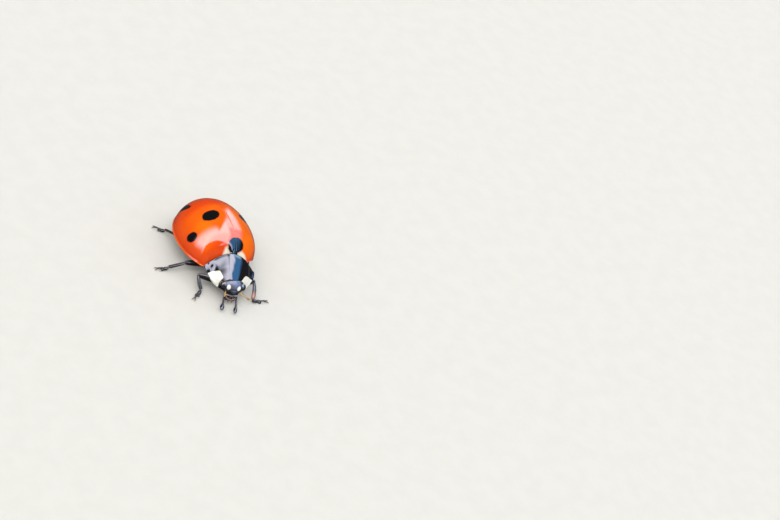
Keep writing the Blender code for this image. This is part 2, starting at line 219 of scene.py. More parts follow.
# ---- materials -------------------------------------------------------------------
class Nodes:
    """Short names for building a Principled material."""

    def __init__(self, name):
        self.m = bpy.data.materials.new(name)
        self.m.use_nodes = True
        self.t = self.m.node_tree
        self.p = self.t.nodes["Principled BSDF"]

    def new(self, kind, **kw):
        n = self.t.nodes.new("ShaderNode" + kind)
        for k, v in kw.items():
            setattr(n, k, v)
        return n

    def link(self, a, b):
        self.t.links.new(a, b)

    def coords(self, scale=1.0):
        """Object coordinates as working-frame millimetres, times scale."""
        tc = self.new("TexCoord")
        mp = self.new("Mapping")
        mp.inputs["Scale"].default_value = (1000 * scale,) * 3
        mp.inputs["Location"].default_value = tuple(-SHIFT * scale)
        self.link(tc.outputs["Object"], mp.inputs["Vector"])
        return mp.outputs["Vector"]

    def noise(self, scale, detail=3.0, rough=0.5, vec=None):
        n = self.new("TexNoise")
        n.inputs["Scale"].default_value = scale
        n.inputs["Detail"].default_value = detail
        n.inputs["Roughness"].default_value = rough
        self.link(vec or self.coords(), n.inputs["Vector"])
        return n.outputs["Fac"]

    def cells(self, scale, vec=None, feature="F1"):
        n = self.new("TexVoronoi", feature=feature)
        n.inputs["Scale"].default_value = scale
        self.link(vec or self.coords(), n.inputs["Vector"])
        return n.outputs["Distance"]

    def attr(self, name):
        n = self.new("Attribute", attribute_name=name)
        return n.outputs["Fac"]

    def math(self, op, a, b=None, c=None):
        n = self.new("Math", operation=op)
        for i, x in enumerate((a, b, c)):
            if x is None:
                continue
            if isinstance(x, (int, float)):
                n.inputs[i].default_value = x
            else:
                self.link(x, n.inputs[i])
        return n.outputs[0]

    def ramp(self, fac, lo, hi, a=0.0, b=1.0):
        n = self.new("MapRange", interpolation_type="SMOOTHSTEP")
        n.inputs["From Min"].default_value = lo
        n.inputs["From Max"].default_value = hi
        n.inputs["To Min"].default_value = a
        n.inputs["To Max"].default_value = b
        self.link(fac, n.inputs["Value"])
        return n.outputs["Result"]

    def mix(self, fac, a, b):
        n = self.new("Mix", data_type="RGBA")
        for sock, x in ((n.inputs[0], fac), (n.inputs[6], a), (n.inputs[7], b)):
            if isinstance(x, (int, float)):
                sock.default_value = x
            elif isinstance(x, tuple):
                sock.default_value = (*x, 1.0)
            else:
                self.link(x, sock)
        return n.outputs[2]

    def bump(self, height, dist, strength=1.0, normal=None):
        n = self.new("Bump")
        n.inputs["Distance"].default_value = dist * 0.001
        n.inputs["Strength"].default_value = strength
        self.link(height, n.inputs["Height"])
        if normal is not None:
            self.link(normal, n.inputs["Normal"])
        return n.outputs["Normal"]

    def finish(self, color, rough, normal=None, coat=0.0, coat_rough=0.05, ior=1.55, coat_ior=1.5,
               sss=0.0, sss_scale=0.2):
        p = self.p
        if isinstance(color, tuple):
            p.inputs["Base Color"].default_value = (*color, 1.0)
        else:
            self.link(color, p.inputs["Base Color"])
        if isinstance(rough, (int, float)):
            p.inputs["Roughness"].default_value = rough
        else:
            self.link(rough, p.inputs["Roughness"])
        p.inputs["IOR"].default_value = ior
        p.inputs["Coat Weight"].default_value = coat
        p.inputs["Coat Roughness"].default_value = coat_rough
        p.inputs["Coat IOR"].default_value = coat_ior
        if sss:
            p.inputs["Subsurface Weight"].default_value = sss
            p.inputs["Subsurface Radius"].default_value = (1.0, 0.35, 0.15)
            p.inputs["Subsurface Scale"].default_value = sss_scale * 0.001
        if normal is not None:
            self.link(normal, p.inputs["Normal"])
        return self.m


BLACK = (0.004, 0.004, 0.005)


def mat_wing():
    k = Nodes("wing_case")
    big = k.noise(0.55, 2.0)
    fine = k.noise(9.0, 4.0, 0.6)
    red = k.mix(k.ramp(big, 0.35, 0.65), (0.88, 0.120, 0.0), (0.97, 0.175, 0.0))
    # painted light and shade: the value "up" makes the red lighter where the wing case faces up, and darker on its
    # lower flanks, its right shoulder and towards its tip
    red = k.mix(k.ramp(k.attr("up"), 0.1, 0.85), k.mix(k.ramp(big, 0.3, 0.7), (0.78, 0.060, 0.0), (0.88, 0.080, 0.0)), red)
    red = k.mix(k.ramp(k.attr("up"), -0.55, 0.10), (0.68, 0.060, 0.0), red)
    red = k.mix(k.math("MULTIPLY", k.ramp(fine, 0.45, 0.75), 0.10), red, (0.98, 0.22, 0.0))
    rim = k.mix(k.math("MULTIPLY", k.attr("rim"), 0.55), red, (0.95, 0.25, 0.06))
    wob = k.math("MULTIPLY", k.math("SUBTRACT", k.noise(3.2, 3.0), 0.5), 0.10)
    cream = k.ramp(k.math("ADD", k.attr("cream"), wob), -0.05, 0.10, 1.0, 0.0)
    col = k.mix(cream, rim, k.mix(k.ramp(fine, 0.3, 0.7), (0.95, 0.88, 0.70), (0.97, 0.93, 0.82)))
    spot = k.ramp(k.math("ADD", k.attr("spot"), wob), -0.022, 0.022, 1.0, 0.0)
    halo = k.ramp(k.math("ADD", k.attr("spot"), wob), 0.0, 0.10, 0.35, 0.0)
    col = k.mix(halo, col, (0.45, 0.02, 0.001))
    col = k.mix(spot, col, (0.003, 0.003, 0.003))
    pits = k.ramp(k.cells(18.0), 0.0, 0.30, 0.0, 1.0)
    nrm = k.bump(pits, 0.003, 0.35)
    nrm = k.bump(fine, 0.004, 0.35, nrm)
    return k.finish(col, k.math("ADD", k.math("MULTIPLY", fine, 0.12), 0.22), nrm, coat=1.0,
                    coat_rough=0.06, ior=1.08, coat_ior=1.86)


def mat_black(name, pit_scale=14.0, pit=0.5, rough=0.16, coat=1.0, ior=1.12, white=None, edge=None, slate=None,
              base=BLACK, coat_rough=0.05, brown=(0.16, 0.055, 0.02), coat_ior=1.75):
    k = Nodes(name)
    fine = k.noise(8.0, 4.0, 0.6)
    col = k.mix(k.ramp(fine, 0.3, 0.75), base, tuple(c * 1.9 for c in base))
    # painted reflection: where this value is high, a bluish grey sky sheen is mixed into the base colour
    if slate:
        col = k.mix(k.attr(slate), col, k.mix(k.ramp(k.noise(2.6, 3.0), 0.3, 0.7), (0.075, 0.085, 0.150), (0.120, 0.125, 0.215)))
    if edge:
        col = k.mix(k.attr(edge), col, brown)
    if white:
        wob = k.math("MULTIPLY", k.math("SUBTRACT", k.noise(4.0, 3.0), 0.5), 0.06)
        w = k.ramp(k.math("ADD", k.attr(white), wob), -0.018, 0.018, 1.0, 0.0)
        cream = k.mix(k.ramp(k.noise(2.2, 3.0), 0.3, 0.7), (0.90, 0.91, 0.80), (0.97, 0.97, 0.90))
        col = k.mix(w, col, cream)
    pits = k.ramp(k.cells(pit_scale), 0.0, 0.26, 0.0, 1.0)
    nrm = k.bump(pits, 0.004, pit)
    return k.finish(col, k.math("ADD", k.math("MULTIPLY", fine, 0.14), rough - 0.05), nrm, coat=coat,
                    coat_rough=coat_rough, ior=ior, coat_ior=coat_ior)


def mat_limb(name, base, other, rough=0.28, coat=0.6):
    """Leg, palp or feeler cuticle; the value "tone" leads to the other colour."""
    k = Nodes(name)
    fine = k.noise(11.0, 4.0, 0.6)
    streak = k.noise(4.0, 3.0)
    tone = k.math("ADD", k.attr("tone"), k.math("MULTIPLY", k.math("SUBTRACT", streak, 0.5), 0.25))
    col = k.mix(k.ramp(tone, 0.15, 0.9), k.mix(k.ramp(fine, 0.3, 0.75), base, tuple(c * 2.0 for c in base)), other)
    nrm = k.bump(k.ramp(k.cells(30.0), 0.0, 0.35), 0.003, 0.35)
    return k.finish(col, k.math("ADD", k.math("MULTIPLY", fine, 0.18), rough - 0.06), nrm, coat=coat,
                    coat_rough=0.12, ior=1.55, coat_ior=1.5)


def mat_eye():
    k = Nodes("eye")
    fine = k.noise(14.0, 3.0)
    col = k.mix(k.ramp(fine, 0.3, 0.7), (0.006, 0.007, 0.010), (0.016, 0.015, 0.022))
    nrm = k.bump(k.noise(40.0, 2.0), 0.002, 0.3)
    return k.finish(col, 0.22, nrm, coat=1.0, coat_rough=0.10, ior=1.56, coat_ior=1.85)


def mat_hair(name, a, b, rough=0.45):
    k = Nodes(name)
    col = k.mix(k.ramp(k.noise(5.0, 3.0), 0.3, 0.7), a, b)
    return k.finish(col, rough, None, coat=0.0)


WING = mat_wing()
SHIELD = mat_black("shield_cuticle", 22.0, 0.22, 0.14, 1.0, coat_ior=1.98, white="white", edge="edge", coat_rough=0.045,
                   brown=(0.42, 0.24, 0.10))
HEADM = mat_black("head_cuticle", 26.0, 0.30, 0.38, 0.8, ior=1.45, white="white", edge="edge", slate="slate", coat_rough=0.33,
                  brown=(0.74, 0.62, 0.52))
UNDER = mat_black("underside_cuticle", 12.0, 1.0, 0.34, 0.5, white="white", coat_rough=0.2)
LEG = mat_limb("leg_cuticle", (0.006, 0.005, 0.005), (0.42, 0.17, 0.10))
MOUTH = mat_limb("mouth_cuticle", (0.010, 0.009, 0.012), (0.40, 0.22, 0.12), 0.20, 1.0)
FEELER = mat_limb("feeler_cuticle", (0.10, 0.040, 0.012), (0.80, 0.48, 0.15), 0.32, 0.4)
EYE = mat_eye()
HAIR = mat_hair("fine_hair", (0.15, 0.12, 0.09), (0.34, 0.29, 0.22))
PAD = mat_hair("foot_pad_hair", (0.62, 0.58, 0.46), (0.82, 0.78, 0.66), 0.6)


# ---- wing cases ------------------------------------------------------------------
def half_width_factor(y):
    y = np.asarray(y, float)
    f = np.clip(1 - np.abs(y / L_FRONT) ** P_FRONT, 0, 1) ** (1 / P_FRONT)
    r = np.clip(1 - np.abs(y / L_REAR) ** P_REAR, 0, 1) ** (1 / P_REAR)
    return np.where(y < 0, f, r)


def ridge(y):
    g = half_width_factor(y)
    return DOME * np.where(y < 0, g ** HZ_FRONT, g ** HZ_REAR)


def margin_z(y):
    return MARGIN_RISE * (np.asarray(y, float) / 3.0) ** 2


def side_z(y):
    return margin_z(y) + np.minimum(SHOULDER_RISE * smooth(-2.0, -2.7, y), 0.8 * ridge(y))


def dome_z(x, y):
    w = WIDTH / 2 * half_width_factor(y)
    low, top = side_z(y), margin_z(y) + ridge(y)
    return low + (top - low) * np.sqrt(np.clip(1 - (x / np.maximum(w, 1e-6)) ** 2, 0, 1))


DRUM = turn((0, -ARC, 0), YAW)[:2]


def in_drum(x, y, extra=0.0):
    return np.hypot(x - DRUM[0], y - DRUM[1]) - (ARC + GAP + extra)


# centre on the dome (x, y), half sizes along and across, turn of the long axis
SPOTS = {
    -1: [((-0.88, 0.13), (0.60, 0.42), 6), ((-2.27, -0.63), (0.40, 0.31), -14), ((-1.59, 2.08), (0.66, 0.27), -42)],
    1: [((1.64, -0.02), (0.42, 0.34), -8), ((2.27, -0.62), (0.30, 0.40), 0), ((1.88, 1.76), (0.56, 0.28), 40)],
}


def surface_frame(x, y):
    """Point, and two tangents of the dome: one across (towards +X), one along (towards +Y)."""
    h = 1e-3
    p = np.array([x, y, float(dome_z(x, y))])
    tx = unit(np.array([h, 0, float(dome_z(x + h, y) - dome_z(x - h, y)) / 2]))
    n = unit(np.cross(tx, np.array([0, h, float(dome_z(x, y + h) - dome_z(x, y - h)) / 2])))
    return p, tx, np.cross(n, tx)


def ellipse_distance(P, centre, size, angle):
    c, tx, ty = surface_frame(*centre)
    d = P - c
    u, v = d @ tx, d @ ty
    n = d @ np.cross(tx, ty)
    a = math.radians(angle)
    u, v = u * math.cos(a) + v * math.sin(a), -u * math.sin(a) + v * math.cos(a)
    # the surface falls away from the tangent plane, so the arc is a little longer
    r = np.hypot(u, v)
    stretch = np.sqrt(1 + (n / np.maximum(r, 1e-3)) ** 2)
    q = np.hypot(u * stretch / size[0], v * stretch / size[1])
    return (q - 1) * min(size)


def wing_case(sx):
    NA, NL = 150, 250
    phi = (math.pi / 2) * np.linspace(0, 1, NA + 1) ** 1.35
    y0 = np.empty(NA + 1)
    for i, f in enumerate(phi):
        lo, hi = -L_FRONT + 1e-6, 0.0
        for _ in range(40):
            m = (lo + hi) / 2
            w = WIDTH / 2 * float(half_width_factor(m))
            if in_drum(sx * (GAP / 2 + (w - GAP / 2) * math.cos(f)), m) < 0:
                lo = m
            else:
                hi = m
        y0[i] = hi
    t = np.linspace(0, 1, NL + 1)
    s = 1 - (1 - t) ** 2.1
    Y = y0[:, None] + (L_REAR * 0.99995 - y0[:, None]) * s[None, :]
    W = WIDTH / 2 * half_width_factor(Y)
    low, crest = side_z(Y), margin_z(Y) + ridge(Y)
    half_gap = np.minimum(0.004, W * 0.5)
    # the seam leans a little, so each row ends short of or past the top
    lean = np.arcsin(np.clip(LEAN * crest / np.maximum(W, 1e-6), -0.5, 0.5))
    ang = np.broadcast_to(phi[:, None], Y.shape) * (1 - sx * lean / (math.pi / 2))
    cp, sp = np.cos(ang), np.sin(ang)
    X = sx * (half_gap * smooth(math.pi, 0, phi)[:, None] * 2 + (W - half_gap) * cp)
    Z = low + (crest - low) * sp
    # the base rolls down to meet the shield, most of all where the shield is turned away
    roll = (0.12 + 0.46 * smooth(0.1, 0.85, np.abs(X)) * smooth(2.1, 1.3, np.abs(X))) if sx < 0 else 0.12
    was, near = Z, np.maximum(in_drum(X, Y), 0)
    Z = Z - roll * np.exp(-(near / 0.23) ** 2)
    if sx < 0:
        Z = Z - (0.04 + 0.26 * smooth(0.1, 0.6, np.abs(X)) * smooth(2.2, 1.5, np.abs(X))) * np.exp(-(near / 0.05) ** 2)
        xl = X * math.cos(YAW) + (Y - Y_BASE) * math.sin(YAW)
        meet = 0.01 + 1.10 * np.clip(1 - (xl / PRO_W) ** 2, 0, 1) ** 0.97
        Z = np.where(near < 0.3, np.maximum(Z, np.minimum(was, meet)), Z)
    P = np.stack([X, Y, Z], -1)
    N = grid_normals(P)
    out = np.stack([X, Y * 0.6, Z + 0.3], -1)
    if (N * out).sum() < 0:
        N = -N
    # raised bead along the side margin with a fine gutter above it
    sm = ridge(Y) * np.broadcast_to(phi[:, None], Y.shape)
    rise = 0.030 * np.exp(-(sm / 0.055) ** 2) - 0.026 * np.exp(-((sm - 0.15) / 0.055) ** 2)
    # the seam between the two cases is a shallow groove with rounded edges
    seam = np.maximum(sx * (X - LEAN * Z), 0.004) - 0.004
    rise = rise - 0.007 * np.exp(-seam / 0.015) * smooth(0.02, 0.4, W) + 0.006 * np.exp(-((seam - 0.06) / 0.03) ** 2)
    # the base edge turns down towards the shield, and the shoulder swells a little
    base = in_drum(X, Y)
    rise = rise - 0.030 * np.exp(-np.maximum(base, 0) / 0.035)
    rise = rise + 0.045 * np.exp(-((np.abs(X) - 1.78) ** 2 + (Y + 1.72) ** 2) / 0.10)
    # very slight unevenness of the real surface
    rise = rise + 0.006 * np.sin(X * 2.1 + 1.0 + sx) * np.sin(Y * 1.7 + 0.4) * sp
    Q = P + N * rise[..., None]

    nu, nv = NA + 1, NL + 1
    G = Geo()
    spot = np.full(Q.shape[:2], 9.0)
    for c, size, ang in SPOTS[sx]:
        spot = np.minimum(spot, ellipse_distance(P, c, size, ang))
    sc = np.hypot((X - 0.14) / 0.56, (Y + 2.11) / 0.34)
    spot = np.minimum(spot, (sc - 1) * 0.40)
    scut = np.maximum(np.abs(X) - 0.20, Y + 2.2)
    spot = np.minimum(spot, scut)
    u = np.abs(X - 0.08) - (0.54 if sx > 0 else 0.40)
    v = (in_drum(X, Y) + 0.02 - 0.05 * u)
    cream = (np.hypot(u / (0.43 if sx > 0 else 0.35), v / 0.25) - 1) * 0.25
    rim = np.exp(-(sm / 0.07) ** 2)
    # painted light and shade: the red is lighter where the surface faces up and darker on the lower flanks, painted
    # shade darkens the right shoulder, and the red is darker towards the tip
    painted_shoulder_shade = (0.75 if sx < 0 else 0.0) * 1.15 * np.exp(-(((X + 1.1) / 0.65) ** 2 + ((Y + 2.0) / 0.50) ** 2))
    up = np.clip(N[..., 2], 0, 1) * (1 - painted_shoulder_shade) * (1 - 0.80 * smooth(0.4, 2.2, Y)) - 0.6 * smooth(0.5, 2.0, Y)

    # boundary loop: margin, apex, seam, base
    loop = [(0, j) for j in range(nv)] + [(i, nv - 1) for i in range(1, nu)] \
        + [(nu - 1, j) for j in range(nv - 2, -1, -1)] + [(i, 0) for i in range(nu - 2, 0, -1)]
    li = np.array(loop)
    B, BN = Q[li[:, 0], li[:, 1]], N[li[:, 0], li[:, 1]]
    inner_i = np.clip(li[:, 0], 1, nu - 2)
    inner_j = np.clip(li[:, 1], 1, nv - 2)
    inside = Q[inner_i, inner_j]
    tang = unit(np.roll(B, -1, 0) - np.roll(B, 1, 0))
    off = unit(np.cross(tang, BN))
    off = off * np.sign(((B - inside) * off).sum(1, keepdims=True) + 1e-9)
    size = np.where(li[:, 0] == 0, 1.0, np.where(li[:, 0] == nu - 1, 0.05, 0.45))
    for _ in range(6):
        size = (np.roll(size, 1) + size + np.roll(size, -1)) / 3
    rings = []
    for o, d in ((0.020, 0.006), (0.032, 0.026), (0.030, 0.055), (0.012, 0.09), (-0.02, 0.13)):
        rings.append(B + off * (o * size)[:, None] - BN * (d * np.maximum(size, 0.5))[:, None])
    kx, kz = (WIDTH / 2 - SHELL) / (WIDTH / 2), (DOME - SHELL) / DOME
    ky = np.where(Y < 0, (L_FRONT - SHELL) / L_FRONT, (L_REAR - SHELL) / L_REAR)
    inner = np.stack([P[..., 0] * kx, Y * ky, low + (Z - low) * kz + 0.02], -1)
    flip = sx > 0
    verts = np.concatenate([Q.reshape(-1, 3)] + rings + [inner.reshape(-1, 3)])
    faces = grid_faces(nu, nv, flip=flip)
    n0, nl = nu * nv, len(loop)
    ring_ids = [np.array([i * nv + j for i, j in loop])]
    for k in range(len(rings)):
        ring_ids.append(np.arange(n0 + k * nl, n0 + (k + 1) * nl))
    base_in = n0 + len(rings) * nl
    ring_ids.append(np.array([base_in + i * nv + j for i, j in loop]))
    for a, b in zip(ring_ids[:-1], ring_ids[1:]):
        for q in range(nl):
            r = (q + 1) % nl
            f = (a[q], a[r], b[r], b[q])
            faces.append(tuple(int(x) for x in (f if flip else f[::-1])))
    faces += [tuple(i + base_in for i in f) for f in grid_faces(nu, nv, flip=not flip)]

    def full(v, rest):
        return np.concatenate([v.ravel(), np.full(len(verts) - n0, rest)])
    spot_all = full(spot, 1.0)
    spot_all[n0:base_in] = np.tile(spot[li[:, 0], li[:, 1]], len(rings))
    cream_all = full(cream, 1.0)
    cream_all[n0:base_in] = np.tile(cream[li[:, 0], li[:, 1]], len(rings))
    G.add(verts, faces, spot=spot_all, cream=cream_all, rim=full(rim, 1.0), up=full(up, 0.0))
    side = "left" if sx > 0 else "right"
    return G.build("wing_case_" + side, [WING], "wing_case", ["elytron_" + side])


for sx in (-1, 1):
    wing_case(sx)

# scutellum: a small shield with a domed, finely edged top
def scutellum():
    G = Geo()
    n = 24
    apex, front, half = Y_BASE + 0.20, Y_BASE - 0.10, 0.185
    rows = []
    for k in np.linspace(0, 1, n):
        y = front + (apex - front) * k
        w = half * (1 - np.clip((y - Y_BASE) / 0.20, 0, 1)) ** 0.85 + 0.004
        for u in np.linspace(-1, 1, n):
            x = w * u
            z = float(dome_z(0, max(y, Y_BASE - 0.1))) + 0.004 + 0.018 * (1 - abs(u) ** 3)
            rows.append((x, y, z))
    top = np.array(rows)
    low = top - np.array([0, 0, 0.30])
    f = grid_faces(n, n, flip=True) + [tuple(i + n * n for i in q) for q in grid_faces(n, n)]
    loop = [j for j in range(n)] + [i * n + n - 1 for i in range(1, n)] \
        + [(n - 1) * n + j for j in range(n - 2, -1, -1)] + [i * n for i in range(n - 2, 0, -1)]
    for a, b in zip(loop, loop[1:] + loop[:1]):
        f.append((a, b, b + n * n, a + n * n))
    G.add(np.vstack([top, low]), f, white=1.0)
    return G.build("scutellum_plate", [SHIELD], "black_cuticle", ["scutellum"])


scutellum()

# ---- pronotum --------------------------------------------------------------------


def pro_point(u, v, top=True):
    vv = np.clip(v, 0, 1)
    ym, zm = -PRO_LEN * v, 0.47 + 0.68 * (1 - vv ** MID_POWER)
    xe = PRO_W - 0.56 * vv ** 2.2
    ye, ze = -0.26 - 1.20 * v, 0.05 - 0.41 * vv
    x = xe * u
    y = ym + (ye - ym) * u * u
    au = np.abs(u)
    if top:
        z = ze + (zm - ze) * np.clip(1 - u * u, 0, 1) ** 0.97
    else:
        z = ze - 0.10 - 0.50 * np.clip(1 - au ** 1.3, 0, 1) ** 1.3 * (0.55 + 0.45 * np.cos(math.pi * (v - 0.4)))
    return np.stack([x, y, z], -1)


def pronotum():
    NU, NV = 200, 120
    uu = np.linspace(-1, 1, NU + 1)
    uu = np.sin(uu * math.pi / 2) * 0.75 + uu * 0.25
    vv = (1 - np.cos(np.linspace(0, math.pi, NV + 1))) / 2
    U, V = np.meshgrid(uu, vv, indexing="ij")
    P = pro_point(U, V)
    N = grid_normals(P)
    if N[NU // 2, NV // 2, 2] < 0:
        N = -N
    xe = PRO_W - 0.56 * V ** 2.2
    de = (1 - np.abs(U)) * xe               # distance from the side edge, from the hind edge, from the front
    dh, df = V * PRO_LEN, (1 - V) * PRO_LEN
    rise = (0.026 * np.exp(-(de / 0.05) ** 2) - 0.022 * np.exp(-((de - 0.11) / 0.05) ** 2)) * (0.3 + 0.7 * smooth(0.55, 0.35, V))
    rise += -0.022 * np.exp(-dh / 0.025) + 0.006 * np.exp(-((dh - 0.05) / 0.03) ** 2)
    rise += -0.010 * np.exp(-df / 0.02)
    rise += 0.060 * np.exp(-(de / 0.20) ** 2) * smooth(0.60, 0.30, V)
    rise += 0.13 * smooth(0.20, -0.90, U) * np.exp(-(dh / 0.75) ** 2)
    rise -= 0.045 * smooth(0.15, -0.60, U) * np.exp(-((dh - 0.75) / 0.45) ** 2)
    # its crown sits a little to the right, most of all near the front
    crown = 0.01 + 0.058 * smooth(0.15, 0.5, V)
    ahead = smooth(0.5, 0.8, V)
    rise -= crown * np.tanh((U + 0.13 + 0.04 * ahead) / (0.23 - 0.08 * ahead)) * np.where(U < 0, smooth(0.85, 0.35, np.abs(U)), smooth(1.15, 0.30, U))
    # the side parts are a little hollowed in front of the hind corners
    rise += -0.05 * np.exp(-(((np.abs(U) - np.where(U < 0, 0.79, 0.86)) / 0.10) ** 2 + ((V - 0.30) / 0.20) ** 2))
    P = P + N * rise[..., None]
    P = turn(P, YAW)
    low = turn(pro_point(U, V, False), YAW)
    au = np.abs(U)
    hind = np.where(U < 0, 0.43 + 0.43 * (0.96 - au), 0.51 + 0.42 * (0.95 - au))
    inner = np.where(U < 0, 0.61 - 0.15 * (V - 0.69), 0.62 - 0.46 * (V - 0.67))
    fore = np.where(U < 0, 0.87 + 0.5 * (au - 0.59), 1.2)
    a, b, c = (inner - au) * 1.45, (hind - V) * 1.35, (V - fore) * 1.35
    k = 38.0
    white = np.log(np.exp(k * a) + np.exp(k * b) + np.exp(k * c)) / k
    front = np.exp(-(df / 0.05) ** 2) * smooth(0.35, 0.6, au) * 0.8
    G = Geo()
    nu, nv = NU + 1, NV + 1
    n0 = nu * nv
    loop = [(0, j) for j in range(nv)] + [(i, nv - 1) for i in range(1, nu)] \
        + [(nu - 1, j) for j in range(nv - 2, -1, -1)] + [(i, 0) for i in range(nu - 2, 0, -1)]
    li = np.array(loop)
    B, L = P[li[:, 0], li[:, 1]], low[li[:, 0], li[:, 1]]
    mid = B.mean(0)
    outward = unit((B - mid) * np.array([1, 1, 0.0]))
    rings = [B + outward * 0.006 + [0, 0, -0.02], B + outward * 0.004 + [0, 0, -0.045], B * 0.6 + L * 0.4]
    verts = np.concatenate([P.reshape(-1, 3)] + rings + [low.reshape(-1, 3)])
    faces = grid_faces(nu, nv)
    nl = len(loop)
    ids = [np.array([i * nv + j for i, j in loop])]
    for q in range(len(rings)):
        ids.append(np.arange(n0 + q * nl, n0 + (q + 1) * nl))
    b0 = n0 + len(rings) * nl
    ids.append(np.array([b0 + i * nv + j for i, j in loop]))
    flip = N[NU // 2, NV // 2, 2] > 0 and np.cross(P[1, 0] - P[0, 0], P[0, 1] - P[0, 0])[2] < 0
    if flip:
        faces = [f[::-1] for f in faces]
    for c, d in zip(ids[:-1], ids[1:]):
        for q in range(nl):
            r = (q + 1) % nl
            f = (int(c[q]), int(d[q]), int(d[r]), int(c[r]))
            faces.append(f if not flip else f[::-1])
    faces += [tuple(i + b0 for i in (f[::-1] if not flip else f)) for f in grid_faces(nu, nv)]
    wall = np.concatenate([np.tile(white[li[:, 0], li[:, 1]], len(rings)), np.maximum(white.ravel(), np.where(au.ravel() > 0.8, -1, 0.03))])
    G.add(verts, faces, white=np.concatenate([white.ravel(), wall]),
          edge=np.concatenate([front.ravel(), np.zeros(len(verts) - n0)]))
    return G.build("shield", [SHIELD], "black_cuticle", ["pronotum"])


pronotum()

# ---- head ------------------------------------------------------------------------
HEAD_C, HEAD_R = np.array([0.0, -1.61, -0.10]), np.array([0.80, 0.54, 0.50])


def head_point(n):
    n = np.asarray(n, float)
    p = HEAD_C + HEAD_R * n
    x, y, z = n[..., 0], n[..., 1], n[..., 2]
    lf = np.maximum(0, -z) * np.maximum(0, -y) * smooth(0.85, 0.50, np.abs(x))
    p = p + np.stack([0 * lf, -0.40 * lf, -0.08 * lf], -1)
    return p


def head():
    NT, NP = 200, 130
    th = np.linspace(0, 2 * math.pi, NT, endpoint=False)
    ph = np.linspace(-math.pi / 2 + 0.01, math.pi / 2 - 0.01, NP)
    D = np.array([[[math.cos(p) * math.sin(t), -math.cos(p) * math.cos(t), math.sin(p)] for t in th] for p in ph])
    L = head_point(D)
    N = unit(D / HEAD_R)
    x, y, z = L[..., 0], L[..., 1], L[..., 2]
    front = smooth(-1.66, -1.86, y)
    rise = np.zeros(x.shape)
    # frons: a faint dip between the eyes, ridges beside them, the clypeus edge stands out
    rise -= 0.030 * np.exp(-((x / 0.22) ** 2 + ((z - 0.05) / 0.20) ** 2)) * front
    rise += 0.015 * np.exp(-(((np.abs(x) - 0.40) / 0.07) ** 2)) * front * smooth(-0.35, -0.05, z)
    # pits where the feelers are set in
    for s in (-1, 1):
        d = np.sqrt((x - s * 0.46) ** 2 + (z + 0.33) ** 2)
        rise += (-0.075 * np.exp(-(d / 0.085) ** 2) + 0.022 * np.exp(-((d - 0.125) / 0.035) ** 2)) * front
    groove = np.exp(-((z + 0.24 + 0.10 * np.abs(x)) / 0.022) ** 2) * smooth(0.42, 0.30, np.abs(x))
    rise -= 0.015 * groove * front
    L = L + N * rise[..., None]
    # two white spots by the eyes
    w = np.minimum(*[np.hypot((x - s * 0.345) / 0.115, (z - 0.045 - 0.00 * s) / (0.155 if s < 0 else 0.14)) for s in (-1, 1)])
    white = np.where(front > 0.2, (w - 1) * 0.12, 1.0)
    clyp_z = -0.46 + 0.10 * (x / 0.4) ** 2
    edge = np.exp(-((z - clyp_z) / 0.035) ** 2) * smooth(0.46, 0.36, np.abs(x)) * front
    edge = edge * 0.0
    # painted reflection: a bluish grey sky sheen on the upper front of the head, between the eyes
    slate = front * smooth(-0.16, 0.10, z) * smooth(0.62, 0.40, np.abs(x))
    v = turn(L, HEAD_YAW).reshape(-1, 3)
    f = grid_faces(NP, NT, wrap=True, flip=True)
    G = Geo()
    caps = turn(head_point(np.array([[0, 0, -1.0], [0, 0, 1.0]])), HEAD_YAW)
    k = len(v)
    f += [(k, (j + 1) % NT, j) for j in range(NT)] + [(k + 1, (NP - 1) * NT + j, (NP - 1) * NT + (j + 1) % NT) for j in range(NT)]
    G.add(np.vstack([v, caps]), f, white=np.append(white.ravel(), [1, 1]), edge=np.append(edge.ravel(), [0, 0]),
          slate=np.append(slate.ravel(), [0, 0]))
    # the clypeus: a thin pale lip that follows the lower front edge
    s = np.linspace(-1, 1, 61)
    lip = np.stack([0.45 * s, -2.150 + 0.085 * s ** 2 + 0.06 * s ** 12, -0.505 - 0.030 * s ** 2 + 0.01 * s], -1)
    top = head_point(np.stack([0.46 * s, -np.sqrt(1 - (0.46 * s) ** 2 - 0.22 ** 2), np.full(61, -0.22)], -1)) + [0, 0.02, 0]
    back = np.stack([0.43 * s, np.full(61, -1.86), -0.50 - 0.02 * s ** 2], -1)
    rows = []
    for q in np.linspace(0, 1, 26):
        rows.append(top * (1 - q) + lip * q + np.array([0, -0.045, 0.0]) * math.sin(math.pi * q)
                    + np.array([0, 0.035, 0.01]) * (smooth(0.86, 0.93, q) - smooth(0.93, 1.0, q)))
    for dy, dz in ((-0.022, -0.008), (-0.026, -0.026), (-0.012, -0.042), (0.03, -0.050)):
        rows.append(lip + [0, dy, dz])
    rows.append(back)
    plate = np.stack(rows)
    nr = len(rows)
    tone = np.repeat(np.concatenate([smooth(0.925, 0.955, np.linspace(0, 1, 26)), [1, 1, 1, 0.3, 0.0]]), 61)
    G.add(turn(plate, HEAD_YAW).reshape(-1, 3), grid_faces(nr, 61, flip=True), white=1.0, edge=tone)
    return G.build("head_capsule", [HEADM], "black_cuticle", ["head"])


head()


